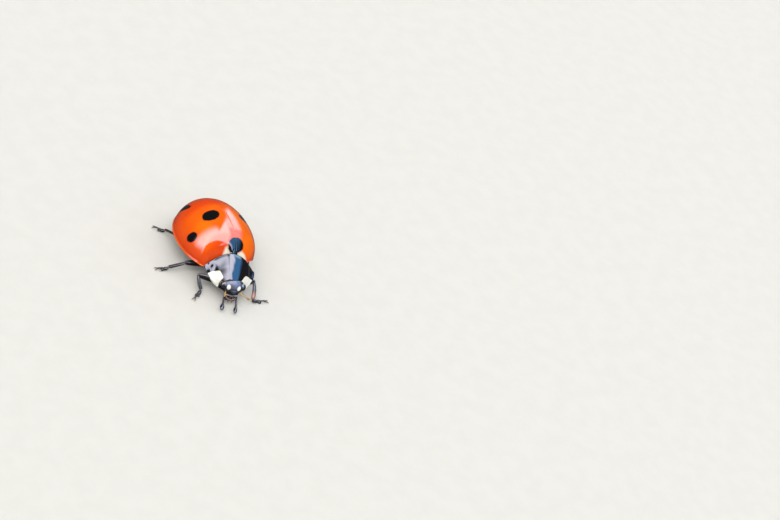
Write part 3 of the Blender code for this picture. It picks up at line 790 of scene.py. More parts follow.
def eye(sx):
    import bmesh
    bm = bmesh.new()
    bmesh.ops.create_icosphere(bm, subdivisions=6, radius=1.0)
    dirs = np.array([v.co[:] for v in bm.verts])
    faces = [tuple(v.index for v in f.verts) for f in bm.faces]
    bm.free()
    bm = bmesh.new()
    bmesh.ops.create_icosphere(bm, subdivisions=4, radius=1.0)
    lens = [v.co.copy() for v in bm.verts]
    bm.free()
    tree = KDTree(len(lens))
    for i, c in enumerate(lens):
        tree.insert(c, i)
    tree.balance()
    d = np.array([tree.find(Vector(p))[2] for p in dirs])
    r = np.array([0.27, 0.27, 0.26])
    dome = 0.0014 * (1 - (d / 0.045) ** 2)
    p = dirs * (r + dome[:, None])
    a = sx * 0.3
    rot = np.array([[math.cos(a), -math.sin(a), 0], [math.sin(a), math.cos(a), 0], [0, 0, 1]])
    p = p @ rot.T + np.array([sx * 0.60, -1.75, -0.03])
    G = Geo().add(turn(p, HEAD_YAW), faces)
    side = "left" if sx > 0 else "right"
    return G.build("eye_%s_facets" % side, [EYE], "eye", ["eye_" + side])


for sx in (-1, 1):
    eye(sx)


# ---- mouth: upper lip, mandibles, lower lip ---------------------------------------
def mouth():
    G = Geo()

    def put(v, f, tone=0.0):
        G.add(turn(v + np.array([0, -0.11, 0]), HEAD_YAW), f, tone=tone)
    # upper lip: a broad plate with a notched, rounded front
    xs = np.linspace(-0.27, 0.27, 26)
    path = np.stack([xs, -2.02 + 0.22 * (xs / 0.3) ** 2, np.full(26, -0.60) + 0.02 * (xs / 0.3) ** 2], -1)
    r = np.sqrt(np.clip(1 - (xs / 0.285) ** 4, 0.02, 1))
    v, f = sweep(path, 0.085 * r * (1 - 0.12 * np.exp(-(xs / 0.05) ** 2)), 0.10 * r, n=18)
    put(v, f, 0.12)
    # mandibles: two curved blades that meet in the middle
    for s in (-1, 1):
        pts = [(s * 0.30, -1.92, -0.66), (s * 0.26, -2.12, -0.74), (s * 0.10, -2.18, -0.78), (s * 0.01, -2.15, -0.80)]
        v, f = bead(pts, lambda t: 0.085 * (1 - 0.65 * t ** 1.5) + 0.012, n=14, rings=26, flat=0.7)
        put(v, f, 0.35 + 0.45 * smooth(0.3, 0.9, np.append(np.repeat(np.linspace(0, 1, 26), 14), [0, 1])))
        # outer lobes of the lower jaws
        pts = [(s * 0.34, -1.84, -0.76), (s * 0.28, -2.02, -0.86), (s * 0.20, -2.10, -0.90)]
        v, f = bead(pts, lambda t: 0.075 * (1 - 0.3 * t), n=14, rings=18)
        put(v, f, 0.45)
        # small inner palps of the lower lip
        pts = [(s * 0.11, -2.05, -0.86), (s * 0.14, -2.16, -0.92), (s * 0.12, -2.24, -0.95)]
        v, f = bead(pts, lambda t: 0.038 * (1 - 0.35 * t), n=10, rings=14)
        put(v, f, 0.55)
    v, f = ball((0, -1.98, -0.84), (0.20, 0.16, 0.085))
    put(v, f, 0.25)
    v, f = ball((0, -1.82, -0.72), (0.30, 0.22, 0.16))
    put(v, f, 0.0)
    return G.build("jaws", [MOUTH], "mouth_cuticle", ["mouthparts"])


mouth()


def palp(side, pts):
    """A four-segmented palp; the last segment is hatchet-shaped."""
    G = Geo()
    a, m, b = (np.array(p, float) for p in pts)
    path = smooth_path([a, m, b], 200)
    at = lambda t: path[int(round(t * 199))]
    for k, (t0, t1, r) in enumerate(((0.0, 0.14, 0.060), (0.12, 0.38, 0.070), (0.36, 0.53, 0.066))):
        seg = [at(t0), at((t0 + t1) / 2), at(t1)]
        v, f = bead(seg, lambda t, r=r: r * (0.72 + 0.42 * t), n=16, rings=20)
        tone = 0.75 * np.exp(-((np.append(np.repeat(np.linspace(0, 1, 20), 16), [0, 1]) - 1.0) / 0.16) ** 2)
        G.add(v, f, tone=tone + 0.05)
    start, end = at(0.50), at(1.0)
    d = unit(end - start)
    across = unit(np.cross(d, (0, 0, 1)))
    lift = np.cross(across, d)
    rings, n = 30, 26
    pts, ra, rb = [], [], []
    for t in np.linspace(0, 1, rings):
        s = 1 - (1 - t) ** 1.0
        pts.append(start + d * np.linalg.norm(end - start) * s)
        wide = 0.046 + (0.092 if side == "right" else 0.074) * smooth(0.0, 0.55, t)
        close = max(0.0, 1 - max(0.0, (t - 0.50) / 0.505) ** 2.6) ** 0.8 if t > 0.50 else 1.0
        ra.append((0.055 + 0.045 * smooth(0, 0.6, t)) * max(close, 0.02))
        rb.append(wide * max(close, 0.02))
    v, f = sweep(pts, ra, rb, n=n, side=lift)
    G.add(v, f, tone=0.0)
    return G.build("palp_%s_joints" % side, [MOUTH], "mouth_cuticle", ["palp_" + side])


PALPS = {
    "right": ((-0.94, -4.26, -0.64), (-1.26, -4.78, -0.84), (-1.60, -5.32, -0.98)),
    "left": ((-0.20, -4.55, -0.66), (-0.48, -5.14, -0.84), (-0.80, -5.72, -0.98)),
}
for side, pts in PALPS.items():
    palp(side, pts)


# ---- feelers: eleven joints, the last three a flat club ---------------------------
def feeler(side, pts):
    G = Geo()
    path = smooth_path([np.array(p, float) for p in pts], 400)
    # joint ends along the feeler and joint radii
    ends = [0, 0.15, 0.24, 0.36, 0.44, 0.52, 0.59, 0.66, 0.72, 0.81, 0.90, 1.0]
    rad = [0.078, 0.056, 0.038, 0.036, 0.036, 0.037, 0.039, 0.043, 0.064, 0.080, 0.070]
    for k, r in enumerate(rad):
        t0, t1 = ends[k], ends[k + 1] + 0.012
        q = path[int(t0 * 399):int(min(t1, 1.0) * 399) + 1]
        club = k >= 8
        if club:
            prof = (lambda t, r=r: r * (0.62 + 0.50 * smooth(0, 0.8, t))) if k < 10 else (lambda t, r=r: r * (1.0 - 0.25 * t ** 2))
        else:
            prof = lambda t, r=r: r * (0.80 + 0.28 * t)
        v, f = bead([q[0], q[len(q) // 2], q[-1]], prof, n=16, rings=16, flat=0.72 if club else 1.0)
        G.add(v, f, tone=(0.95 if k < 8 else 0.55) - 0.04 * (k % 2))
    return G.build("feeler_" + side, [FEELER], "antenna", ["antenna_" + side])


FEELERS = {
    "left": ((-0.20, -4.42, -0.34), (0.22, -4.70, -0.50), (0.60, -4.96, -0.66)),
    "right": ((-0.90, -4.18, -0.40), (-1.16, -4.50, -0.30), (-1.42, -4.86, -0.20)),
}
for side, pts in FEELERS.items():
    feeler(side, pts)

# ---- legs ------------------------------------------------------------------------
ANKLE_Z = -0.92
LEGS = {
    "fore_right": ((-0.66, -3.36, -0.60), (-2.24, -2.68, -0.36), (-2.20, -3.42), (-3.02, -4.08)),
    "fore_left": ((0.24, -3.62, -0.60), (1.45, -3.64, -0.36), (1.06, -4.68), (2.26, -4.82)),
    "mid_right": ((-0.85, -1.50, -0.66), (-2.52, -1.33, -0.50), (-3.55, -1.17), (-4.44, -1.04)),
    "mid_left": ((0.85, -1.50, -0.66), (2.40, -0.80, -0.50), (3.02, 0.05), (3.55, 0.70)),
    "hind_right": ((-0.75, -0.35, -0.66), (-1.88, 1.14, -0.46), (-2.18, 2.26), (-2.82, 2.84)),
    "hind_left": ((0.75, -0.35, -0.66), (2.10, 0.75, -0.50), (2.25, 2.10), (2.85, 2.85)),
}
HAIR_ROOTS = []      # (root, direction, length, radius, u, v) for the coat pieces


def hairs_on(path, ra, rb, side, count, length, lean, along=(0.05, 0.97), where=None, r=0.0075, patch=(0, 0), kind=0):
    """Seeds hairs on a swept bar: lean is how far they lie towards its far end."""
    path = np.asarray(path, float)
    m = len(path)
    ra, rb = np.broadcast_to(ra, (m,)), np.broadcast_to(rb, (m,))
    t = unit(np.gradient(path, axis=0))
    s = np.broadcast_to(np.asarray(side, float), (m, 3))
    s = unit(s - (s * t).sum(1, keepdims=True) * t)
    c = np.cross(t, s)
    done = 0
    while done < count:
        x = rng.uniform(*along)
        an = rng.uniform(0, 2 * math.pi) if where is None else rng.normal(*where)
        i = int(x * (m - 1))
        n = s[i] * math.cos(an) + c[i] * math.sin(an)
        root = path[i] + s[i] * ra[i] * math.cos(an) * 0.96 + c[i] * rb[i] * math.sin(an) * 0.96
        d = unit(n + t[i] * lean + rng.normal(0, 0.12, 3))
        HAIR_ROOTS.append((kind, root, d, length * rng.uniform(0.7, 1.15), r, patch[0] + 0.09 * x, patch[1] + 0.14 * ((an / (2 * math.pi)) % 1.0)))
        done += 1


def leg(name, coxa, knee, ankle, claw, index):
    coxa, knee = np.array(coxa), np.array(knee)
    end = np.array([ankle[0], ankle[1], ANKLE_Z])
    tip = np.array([claw[0], claw[1], 0.0])
    patch = ((index % 3) * 0.32 + 0.01, (index // 3) * 0.48 + 0.01)
    fore, mid = name.startswith("fore"), name.startswith("mid")
    # --- coxa, trochanter and femur
    G = Geo()
    d = unit(knee - coxa)
    v, f = ball(coxa - d * 0.02 + [0, 0, 0.05], (0.27, 0.22, 0.20), axes=[d, np.cross((0, 0, 1), d), (0, 0, 1)])
    G.add(v, f, tone=0.0)
    v, f = ball(coxa + d * 0.24, (0.17, 0.15, 0.15), axes=[d, np.cross((0, 0, 1), d), (0, 0, 1)])
    G.add(v, f, tone=0.1)
    t = np.linspace(0, 1, 48)
    bow = np.array([0, 0, 0.05])
    p = coxa + d * 0.16 + (knee - coxa - d * 0.08)[None, :] * t[:, None] + bow * np.sin(math.pi * t)[:, None]
    prof = 0.120 + 0.070 * np.sin(math.pi * np.clip(t * 1.02, 0, 1)) ** 0.9
    cap = np.sqrt(np.clip(1 - np.abs(2 * t - 1) ** 14, 0.002, 1))
    ra, rb = prof * cap * 1.08, prof * cap * 0.86
    v, f = sweep(p, ra, rb, n=28)
    tone = 0.45 * np.exp(-((np.append(np.repeat(t, 28), [0, 1]) - 0.99) / 0.06) ** 2)
    G.add(v, f, tone=tone)
    G.build("leg_%s_upper" % name, [LEG], "leg_cuticle", ["leg_%s_femur" % name])
    hairs_on(p, ra, rb, (0, 0, 1), 90, 0.07, 1.6, r=0.005, patch=patch)
    # --- tibia, widening to its end, with a bristly outer edge and two small spurs, one on the fore legs
    G = Geo()
    side = unit(np.cross(end - knee, (0, 0, 1)))
    out = np.array([-side[0], -side[1], 0]) if (side @ (knee - coxa)) < 0 else side
    t = np.linspace(0, 1, 48)
    start = knee + unit(end - knee) * -0.05
    p = start + (end - start)[None, :] * t[:, None] + (out * 0.055 + [0, 0, 0.03]) * np.sin(math.pi * t)[:, None]
    prof = (0.080 + 0.026 * smooth(0, 0.35, t) + 0.012 * smooth(0.5, 1, t)) * (1.02 if fore else 1.0 if mid else 0.85)
    cap = np.sqrt(np.clip(1 - np.abs(2 * t - 1) ** 16, 0.002, 1))
    ra, rb = prof * cap * 1.05, prof * cap * 0.80
    v, f = sweep(p, ra, rb, n=26, side=out)
    tt = np.append(np.repeat(t, 26), [0, 1])
    lower = 0.80 * smooth(0.45, 0.85, tt) if name == "fore_left" else 0.16 * smooth(0.75, 1.0, tt)
    joint = 0.6 * np.exp(-((tt - 0.02) / 0.07) ** 2) if name == "mid_right" else 0.25 * np.exp(-((tt - 0.02) / 0.05) ** 2)
    G.add(v, f, tone=np.maximum(lower, joint))
    td = unit(p[-1] - p[-8])
    for s in ((-1, 1) if not fore else (-1,)):
        q = p[-3] + np.cross(td, out) * 0.06 * s
        v, f = bead([q, q + td * 0.07 + np.cross(td, out) * 0.03 * s, q + td * 0.14 + np.cross(td, out) * 0.035 * s],
                    lambda x: 0.020 * (1 - 0.85 * x) + 0.002, n=8, rings=10)
        G.add(v, f, tone=0.7)
    G.build("leg_%s_shin" % name, [LEG], "leg_cuticle", ["leg_%s_tibia" % name])
    hairs_on(p, ra, rb, out, 130, 0.08, 1.6, r=0.005, patch=(patch[0] + 0.10, patch[1]))
    hairs_on(p, ra, rb, out, 50, 0.09, 1.2, r=0.005, where=(0.0, 0.35), along=(0.4, 0.98), patch=(patch[0] + 0.10, patch[1] + 0.16))
    # --- tarsus: two lobed joints, a small hidden one, the claw joint and two toothed claws
    G = Geo()
    a0 = np.array([ankle[0], ankle[1], GROUND])
    b0 = np.array([claw[0], claw[1], GROUND])
    run = np.linalg.norm(b0 - a0)
    dd = (b0 - a0) / run
    ac = np.array([-dd[1], dd[0], 0.0])
    z = np.array([0, 0, 1.0])

    def at(x, h, c=0.0):
        return a0 + dd * (x * run) + z * h + ac * c
    # first joint, from the shin down to the ground
    v, f = bead([at(-0.02, 0.23), at(0.10, 0.15), at(0.33, 0.085)], lambda x: 0.062 + 0.045 * smooth(0, 0.8, x), n=20, rings=24, side=z, flat=1.15)
    v[:, 2] = np.maximum(v[:, 2], GROUND + 0.012)
    G.add(v, f, tone=0.12)
    for s in (-1, 1):       # lobes of the second joint
        v, f = bead([at(0.30, 0.105, s * 0.02), at(0.42, 0.075, s * 0.07), at(0.56, 0.050, s * 0.085)],
                    lambda x: 0.052 + 0.030 * math.sin(math.pi * min(1, x * 1.1)), n=18, rings=20, side=z, flat=1.10)
        v[:, 2] = np.maximum(v[:, 2], GROUND + 0.010)
        G.add(v, f, tone=0.15)
    v, f = bead([at(0.42, 0.13), at(0.52, 0.13)], lambda x: 0.05, n=14, rings=12, side=z)
    G.add(v, f, tone=0.2)
    v, f = bead([at(0.46, 0.13), at(0.66, 0.165), at(0.84, 0.115)], lambda x: 0.036 + 0.026 * x, n=16, rings=24, side=z)
    G.add(v, f, tone=0.10)
    for s in (-1, 1):       # claws
        q = [at(0.81, 0.12, s * 0.025), at(0.90, 0.125, s * 0.075), at(0.97, 0.07, s * 0.105), at(0.995, 0.006, s * 0.10)]
        v, f = bead(q, lambda x: 0.030 * (1 - 0.86 * x ** 1.2) + 0.002, n=10, rings=20, side=z)
        v[:, 2] = np.maximum(v[:, 2], GROUND)
        G.add(v, f, tone=0.45)
        q = [at(0.865, 0.115, s * 0.060), at(0.895, 0.07, s * 0.070), at(0.905, 0.045, s * 0.065)]
        v, f = bead(q, lambda x: 0.024 * (1 - 0.8 * x) + 0.002, n=8, rings=10, side=z)
        G.add(v, f, tone=0.45)
    # sole: the joints rest on a pad of dense pale hair, flat on the ground
    for x0, x1, c, w in ((0.10, 0.36, 0.0, 0.090), (0.33, 0.61, -0.075, 0.065), (0.33, 0.61, 0.075, 0.065)):
        v, f = bead([at(x0, 0.042, c), at((x0 + x1) / 2, 0.034, c), at(x1, 0.030, c)], lambda x, w=w: w, n=18, rings=16, side=z, flat=1.0)
        v[:, 2] = np.clip(v[:, 2], GROUND, GROUND + 0.07)
        G.add(v, f, mat=1)
    G.build("leg_%s_foot" % name, [LEG, PAD], "leg_cuticle", ["leg_%s_tarsus" % name])
    pth = [at(x, h) for x, h in ((0.0, 0.20), (0.15, 0.13), (0.33, 0.10), (0.5, 0.08), (0.6, 0.07))]
    hairs_on(smooth_path(pth, 40), 0.09, 0.11, z, 70, 0.07, 1.6, r=0.005, patch=(patch[0] + 0.20, patch[1]))
    # pale hair fringe round the pads
    for _ in range(150):
        x, s = rng.uniform(0.08, 0.62), rng.choice((-1, 1))
        wid = 0.09 if x < 0.33 else 0.13
        root = at(x, rng.uniform(0.015, 0.06), s * wid * rng.uniform(0.8, 1.0))
        dr = unit(dd * 0.9 + ac * s * 0.8 + z * rng.uniform(-0.35, 0.0) + rng.normal(0, 0.1, 3))
        HAIR_ROOTS.append((1, root, dr, rng.uniform(0.05, 0.09), 0.007, patch[0] + 0.20 + 0.09 * x, patch[1] + 0.16 + 0.1 * (s + 1) / 2))


for i, (name, pts) in enumerate(LEGS.items()):
    leg(name, *pts, i)

# ---- thorax and abdomen ------------------------------------------------------------
TRUNK_W, TRUNK_H = WIDTH / 2 - SHELL - 0.05, DOME - SHELL - 0.06
TRUNK_FRONT, TRUNK_REAR = 3.20, L_REAR - SHELL - 0.06
SEGMENTS = (-0.15, 0.52, 0.98, 1.40, 1.78, 2.10)


def belly(y):
    u = (y + 0.7) / 3.1
    return 0.50 * np.maximum(0.25, 1 - 0.55 * u * u)


def trunk_surface(y, phi):
    s = np.where(y < 0, y / TRUNK_FRONT, y / TRUNK_REAR)
    p = np.where(y < 0, 2.4, P_REAR)
    g = np.clip(1 - np.abs(s) ** p, 0, 1) ** (1 / p)
    up = np.sin(phi)
    top = TRUNK_H * g ** np.where(y < 0, 2.0, 1.2) * np.maximum(up, 0)
    low = -belly(y) * np.sqrt(g) * np.maximum(-up, 0) ** 0.8
    return np.stack([TRUNK_W * g * np.cos(phi), y, margin_z(y) + np.where(up > 0, top, low)], -1)


def trunk():
    NL, NP = 260, 160
    sy = np.sin(np.linspace(-math.pi / 2, math.pi / 2, NL))
    y = np.where(sy < 0, sy * TRUNK_FRONT, sy * TRUNK_REAR) * 0.9999
    phi = np.linspace(0, 2 * math.pi, NP, endpoint=False)
    Y, PHI = np.meshgrid(y, phi, indexing="ij")
    P = trunk_surface(Y, PHI)
    N = grid_normals(P)
    if (N * np.stack([P[..., 0], 0.3 * Y, P[..., 2]], -1)).sum() < 0:
        N = -N
    under = smooth(0.05, -0.35, np.sin(PHI))
    x = P[..., 0]
    bow = 0.05 * np.cos(x * 1.4)
    rise = np.zeros(Y.shape)
    for k, s in enumerate(SEGMENTS):
        d = Y - (s + bow)
        rise -= 0.040 * np.exp(-(d / 0.022) ** 2) * under
        rise += 0.028 * np.where(d < 0, np.exp(d / 0.16), 0) * under
    # the middle seam of the hind breast, coxal hollows, the fold beside each plate
    rise -= 0.020 * np.exp(-(x / 0.02) ** 2) * under * smooth(-0.2, -0.35, Y) * smooth(-1.5, -1.2, Y)
    d = Y + 1.42 + 0.06 * np.cos(x * 2)
    rise -= 0.045 * np.exp(-(d / 0.03) ** 2) * under
    for cx, cy, r in ((0.85, -1.50, 0.34), (0.75, -0.35, 0.36)):
        for s in (-1, 1):
            dd = np.hypot((x - s * cx), (Y - cy))
            rise -= 0.05 * np.exp(-((dd - r) / 0.03) ** 2) * under
    side_line = np.abs(x) - 1.62 * (1 - 0.05 * Y ** 2)
    rise -= 0.020 * np.exp(-(side_line / 0.025) ** 2) * under
    P = P + N * rise[..., None]
    # under the wing-case base the top falls away, and the front end stops at the shield's hind wall
    P[..., 2] -= 0.95 * smooth(0.1, 0.8, P[..., 2]) * np.exp(-(np.maximum(in_drum(P[..., 0], P[..., 1]), 0) / 0.6) ** 2)
    gone = in_drum(P[..., 0], P[..., 1])
    vx, vy = P[..., 0] - DRUM[0], P[..., 1] - DRUM[1]
    k = np.where(gone < 0.07, (ARC + GAP + 0.07) / np.hypot(vx, vy), 1.0)
    P[..., 0], P[..., 1] = DRUM[0] + vx * k, DRUM[1] + vy * k
    # white side plates behind the middle legs
    white = np.full(Y.shape, 1.0)
    for s in (-1, 1):
        q = np.hypot((np.abs(x) - 1.72) / 0.22, (Y + 1.55) / 0.30) - 1
        white = np.minimum(white, np.where((np.sin(PHI) < 0.02) & (x * s > 0), q * 0.2, 1.0))
    G = Geo()
    f = grid_faces(NL, NP, wrap=True)
    n = NL * NP
    f += [(n, j, (j + 1) % NP) for j in range(NP)] + [(n + 1, (NL - 1) * NP + (j + 1) % NP, (NL - 1) * NP + j) for j in range(NP)]
    test = P[130, 40] - P[129, 40]
    fn = np.cross(P[130, 40] - P[129, 40], P[130, 41] - P[129, 40])
    if fn @ N[130, 40] < 0:
        f = [q[::-1] for q in f]
    G.add(np.vstack([P.reshape(-1, 3), P[0].mean(0), P[-1].mean(0)]), f, white=np.append(white.ravel(), [1, 1]))
    # short pale hairs over the underside
    for _ in range(2600):
        yy = rng.uniform(-2.1, 2.25)
        ph = math.pi + rng.uniform(0.12, math.pi - 0.12)
        q = trunk_surface(np.array(yy), np.array(ph))
        e = 1e-2
        nn = unit(np.cross(trunk_surface(np.array(yy + e), np.array(ph)) - q, trunk_surface(np.array(yy), np.array(ph + e)) - q))
        if nn[2] > 0:
            nn = -nn
        if in_drum(q[0], q[1]) < 0.02:
            continue
        dr = unit(nn * 0.45 + np.array([0, 1.0, 0]) + rng.normal(0, 0.12, 3))
        HAIR_ROOTS.append((2, q, dr, rng.uniform(0.08, 0.13), 0.006, 0.05 + 0.9 * (q[0] + 2.1) / 4.2, 0.05 + 0.9 * (yy + 2.2) / 4.6))
    return G.build("underside", [UNDER], "underside", ["thorax", "abdomen"])


trunk()


# ---- fine hairs --------------------------------------------------------------------
def head_hairs():
    for _ in range(120):
        an, r = rng.uniform(0, 2 * math.pi), rng.uniform(0, 1) ** 0.5
        x, z = 0.30 * r * math.cos(an), -0.62 + 0.10 * r * math.sin(an)
        root = turn(np.array([x, -2.20 + 0.2 * (x / 0.3) ** 2, z]), HEAD_YAW)
        d = turn(np.array([x * 0.4, -1.0, -0.9]) + rng.normal(0, 0.15, 3), HEAD_YAW) - turn(np.zeros(3), HEAD_YAW)
        HAIR_ROOTS.append((3, root, unit(d), rng.uniform(0.04, 0.07), 0.004, 0.05 + 0.4 * (x + 0.3) / 0.6, 0.1 + 0.3 * r))
    for k, (side, pts) in enumerate({**FEELERS}.items()):
        path = smooth_path([np.array(p, float) for p in pts], 60)
        hairs_on(path, 0.05, 0.05, (0, 0, 1), 150, 0.055, 0.9, along=(0.25, 0.97), r=0.005, patch=(0.55, 0.05 + 0.3 * k), kind=3)
    for k, (side, pts) in enumerate(PALPS.items()):
        path = smooth_path([np.array(p, float) for p in pts], 60)
        hairs_on(path, 0.07, 0.09, (0, 0, 1), 90, 0.06, 0.9, along=(0.1, 0.85), r=0.005, patch=(0.75, 0.05 + 0.3 * k), kind=3)


head_hairs()


def coat(name, kind, mat, slot):
    rows = [h for h in HAIR_ROOTS if h[0] == kind]
    n = len(rows)
    root = np.array([h[1] for h in rows])
    d = unit(np.array([h[2] for h in rows]))
    L = np.array([h[3] for h in rows])[:, None]
    r = np.array([h[4] for h in rows])[:, None]
    uv0 = np.array([[h[5], h[6]] for h in rows])
    droop = np.cross(d, unit(np.cross(d, rng.normal(0, 1, (n, 3)))))
    a = unit(np.cross(d, [0.3, 0.5, 0.8]))
    b = np.cross(d, a)
    steps = [(0.0, 1.0), (0.45, 0.75), (0.8, 0.4)]
    V, UV = [], []
    for t, w in steps:
        c = root + d * L * t + droop * L * 0.12 * t * t
        for k in range(3):
            an = 2 * math.pi * k / 3
            V.append(c + (a * math.cos(an) + b * math.sin(an)) * r * w)
            UV.append(uv0 + 0.003 * np.array([0.5 + 0.35 * math.cos(an) * (1 - t), t]))
    V.append(root + d * L + droop * L * 0.12)
    UV.append(uv0 + 0.003 * np.array([0.5, 1.0]))
    V = np.stack(V, 1).reshape(-1, 3)
    UV = np.stack(UV, 1).reshape(-1, 2)
    faces = []
    for i in range(n):
        o = i * 10
        for s in (0, 1):
            for k in range(3):
                m = (k + 1) % 3
                faces.append((o + s * 3 + k, o + s * 3 + m, o + s * 3 + 3 + m, o + s * 3 + 3 + k))
        for k in range(3):
            faces.append((o + 6 + k, o + 6 + (k + 1) % 3, o + 9))
        faces.append((o, o + 2, o + 1))
    ob = Geo().add(V, faces).build(name, [mat], slot)
    me = ob.data
    layer = me.uv_layers.new(name="OFBake")
    idx = np.zeros(len(me.loops), np.int32)
    me.loops.foreach_get("vertex_index", idx)
    layer.data.foreach_set("uv", UV[idx].astype(np.float32).ravel())
    return ob


coat("leg_hairs", 0, HAIR, "leg_cuticle")
coat("foot_hairs", 1, PAD, "leg_cuticle")
coat("belly_hairs", 2, HAIR, "underside")
coat("face_hairs", 3, HAIR, "mouth_cuticle")


# ---- floor, light and camera -------------------------------------------------------
def floor():
    me = bpy.data.meshes.new("floor")
    me.from_pydata([(-0.8, -0.8, 0), (0.8, -0.8, 0), (0.8, 0.8, 0), (-0.8, 0.8, 0)], [], [(0, 1, 2, 3)])
    ob = bpy.data.objects.new("floor", me)
    bpy.context.scene.collection.objects.link(ob)
    k = Nodes("floor_paper")
    fine = k.noise(0.8, 4.0)
    col = k.mix(k.ramp(fine, 0.3, 0.7), (0.64, 0.64, 0.62), (0.66, 0.66, 0.64))
    # the paper sends less light back up than it shows, so it doesn't wash out the gloss
    lp = k.new("LightPath")
    col = k.mix(lp.outputs["Is Camera Ray"], (0.22, 0.22, 0.21), col)
    col = k.mix(lp.outputs["Is Glossy Ray"], col, (0.05, 0.05, 0.05))
    k.finish(col, 0.75, k.bump(k.noise(4.0, 4.0), 0.01, 0.2), ior=1.3)
    me.materials.append(k.m)


floor()

SKY = 5.6


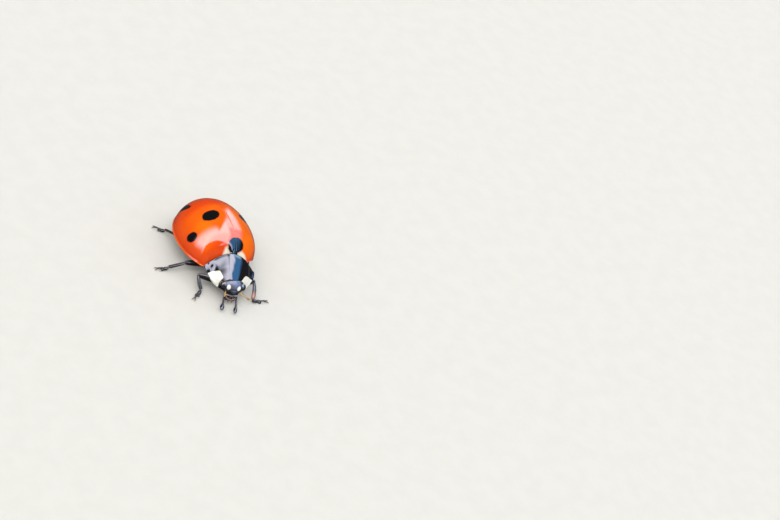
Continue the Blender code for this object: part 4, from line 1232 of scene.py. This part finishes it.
def world():
    w = bpy.data.worlds.new("studio")
    bpy.context.scene.world = w
    w.use_nodes = True
    t = w.node_tree
    for n in list(t.nodes):
        t.nodes.remove(n)

    def new(kind, **kw):
        n = t.nodes.new("ShaderNode" + kind)
        for a, b in kw.items():
            setattr(n, a, b)
        return n

    def m(op, a, b=None):
        n = new("Math", operation=op)
        for i, x in enumerate((a, b)):
            if x is None:
                continue
            if isinstance(x, (int, float)):
                n.inputs[i].default_value = x
            else:
                t.links.new(x, n.inputs[i])
        return n.outputs[0]
    tc = new("TexCoord")
    sep = new("SeparateXYZ")
    t.links.new(tc.outputs["Generated"], sep.inputs[0])
    x, y, z = sep.outputs

    def edge(v, lo, hi):
        n = new("MapRange", interpolation_type="SMOOTHSTEP")
        n.inputs["From Min"].default_value = lo
        n.inputs["From Max"].default_value = hi
        t.links.new(v, n.inputs["Value"])
        return n.outputs["Result"]
    # a direction as degrees from straight up: to the animal's left, and forwards
    flat = m("SQRT", m("ADD", m("MULTIPLY", x, x), m("MULTIPLY", y, y)))
    angle = m("MULTIPLY", m("ARCTAN2", flat, z), 180 / math.pi)
    per = m("DIVIDE", angle, m("MAXIMUM", flat, 1e-5))
    left, fore = m("MULTIPLY", x, per), m("MULTIPLY", y, m("MULTIPLY", per, -1.0))
    # one softbox overhead, long from side to side: a round-ended bite out of its front edge where
    # the viewer stands, its back edge slanting, and a cooler strip along its left side
    du, dv = m("ADD", left, 38.0), m("MINIMUM", m("ADD", fore, -60.0), 0.0)
    bite = edge(m("SQRT", m("ADD", m("MULTIPLY", du, du), m("MULTIPLY", dv, dv))), 40.0, 46.0)
    right_side = edge(left, -90.0, -60.0)
    left_side = edge(m("ADD", left, m("MULTIPLY", m("MAXIMUM", fore, 0.0), 0.30)), 64.0, 48.0)
    hind_left = edge(m("ADD", fore, m("MULTIPLY", m("MAXIMUM", left, 0.0), 0.95)), -7.0, 2.0)
    hind_right = edge(fore, -26.0, -2.0)
    hind = new("Mix", data_type="FLOAT")
    t.links.new(edge(left, -8.0, 8.0), hind.inputs[0])
    t.links.new(hind_right, hind.inputs[2])
    t.links.new(hind_left, hind.inputs[3])
    front = edge(fore, 82.0, 68.0)
    box = m("MULTIPLY", m("MULTIPLY", m("MULTIPLY", bite, front), right_side), m("MULTIPLY", left_side, hind.outputs[0]))
    ahead = m("MINIMUM", m("MAXIMUM", m("ADD", fore, -12.0), 0.0), 20.0)
    blue = edge(m("ADD", left, m("MULTIPLY", ahead, 0.52)), 22.0, 32.0)
    pale = new("Mix", data_type="RGBA")
    t.links.new(edge(fore, -2.0, 12.0), pale.inputs[0])
    pale.inputs[6].default_value = (0.93, 0.93, 1.12, 1)
    pale.inputs[7].default_value = (0.72, 0.72, 0.86, 1)
    cool = new("Mix", data_type="RGBA")
    t.links.new(edge(fore, -15.0, -4.0), cool.inputs[0])
    cool.inputs[6].default_value = (0.48, 0.64, 0.80, 1)
    cool.inputs[7].default_value = (0.055, 0.20, 0.44, 1)
    tint = new("Mix", data_type="RGBA")
    t.links.new(blue, tint.inputs[0])
    t.links.new(pale.outputs[2], tint.inputs[6])
    t.links.new(cool.outputs[2], tint.inputs[7])
    full = new("Mix", data_type="RGBA")
    t.links.new(box, full.inputs[0])
    full.inputs[6].default_value = (0.008, 0.008, 0.010, 1)
    t.links.new(tint.outputs[2], full.inputs[7])
    bg = new("Background")
    t.links.new(full.outputs[2], bg.inputs["Color"])
    bg.inputs["Strength"].default_value = SKY
    soft = new("Background")
    soft.inputs["Color"].default_value = (0.80, 0.80, 0.79, 1)
    soft.inputs["Strength"].default_value = 1.25
    plain = new("Background")
    plain.inputs["Color"].default_value = (0.80, 0.80, 0.79, 1)
    plain.inputs["Strength"].default_value = 0.9
    lp = new("LightPath")
    shine = new("MixShader")
    t.links.new(lp.outputs["Is Glossy Ray"], shine.inputs[0])
    t.links.new(soft.outputs[0], shine.inputs[1])
    t.links.new(bg.outputs[0], shine.inputs[2])
    mix = new("MixShader")
    t.links.new(lp.outputs["Is Camera Ray"], mix.inputs[0])
    t.links.new(shine.outputs[0], mix.inputs[1])
    t.links.new(plain.outputs[0], mix.inputs[2])
    out = new("OutputWorld")
    t.links.new(mix.outputs[0], out.inputs["Surface"])


world()


def fill():
    """A soft warm lamp that lights the colours without a reflection of its own."""
    lamp = bpy.data.lights.new("fill", "SUN")
    lamp.energy, lamp.color, lamp.angle = 1.4, (1.0, 0.94, 0.84), math.radians(50)
    ob = bpy.data.objects.new("fill", lamp)
    bpy.context.scene.collection.objects.link(ob)
    ob.rotation_euler = Vector((0.60, 0.45, -1.0)).to_track_quat("-Z", "Y").to_euler()
    ob.visible_glossy = False


fill()


def camera():
    az, el, roll = math.radians(-46.0576), math.radians(35.4544), math.radians(26.4618)
    tx, ty, dist = -11.5318, 1.2538, 140.9284
    back = Vector((math.sin(az) * math.cos(el), -math.cos(az) * math.cos(el), math.sin(el)))
    right = Vector((math.cos(az), math.sin(az), 0))
    up = back.cross(right)
    r2 = right * math.cos(roll) + up * math.sin(roll)
    u2 = up * math.cos(roll) - right * math.sin(roll)
    cam = bpy.data.objects.new("camera", bpy.data.cameras.new("camera"))
    bpy.context.scene.collection.objects.link(cam)
    cam.data.lens, cam.data.sensor_width = 100, 36
    cam.data.clip_start, cam.data.clip_end = 0.01, 10
    m = Matrix((r2, u2, back)).transposed().to_4x4()
    m.translation = Vector(place(np.array(r2) * -tx + np.array(u2) * -ty + np.array(back) * dist))
    cam.matrix_world = m
    bpy.context.scene.camera = cam


camera()
view = bpy.context.scene.view_settings
view.view_transform = "Standard"
view.look = "None"
view.exposure = 0.0
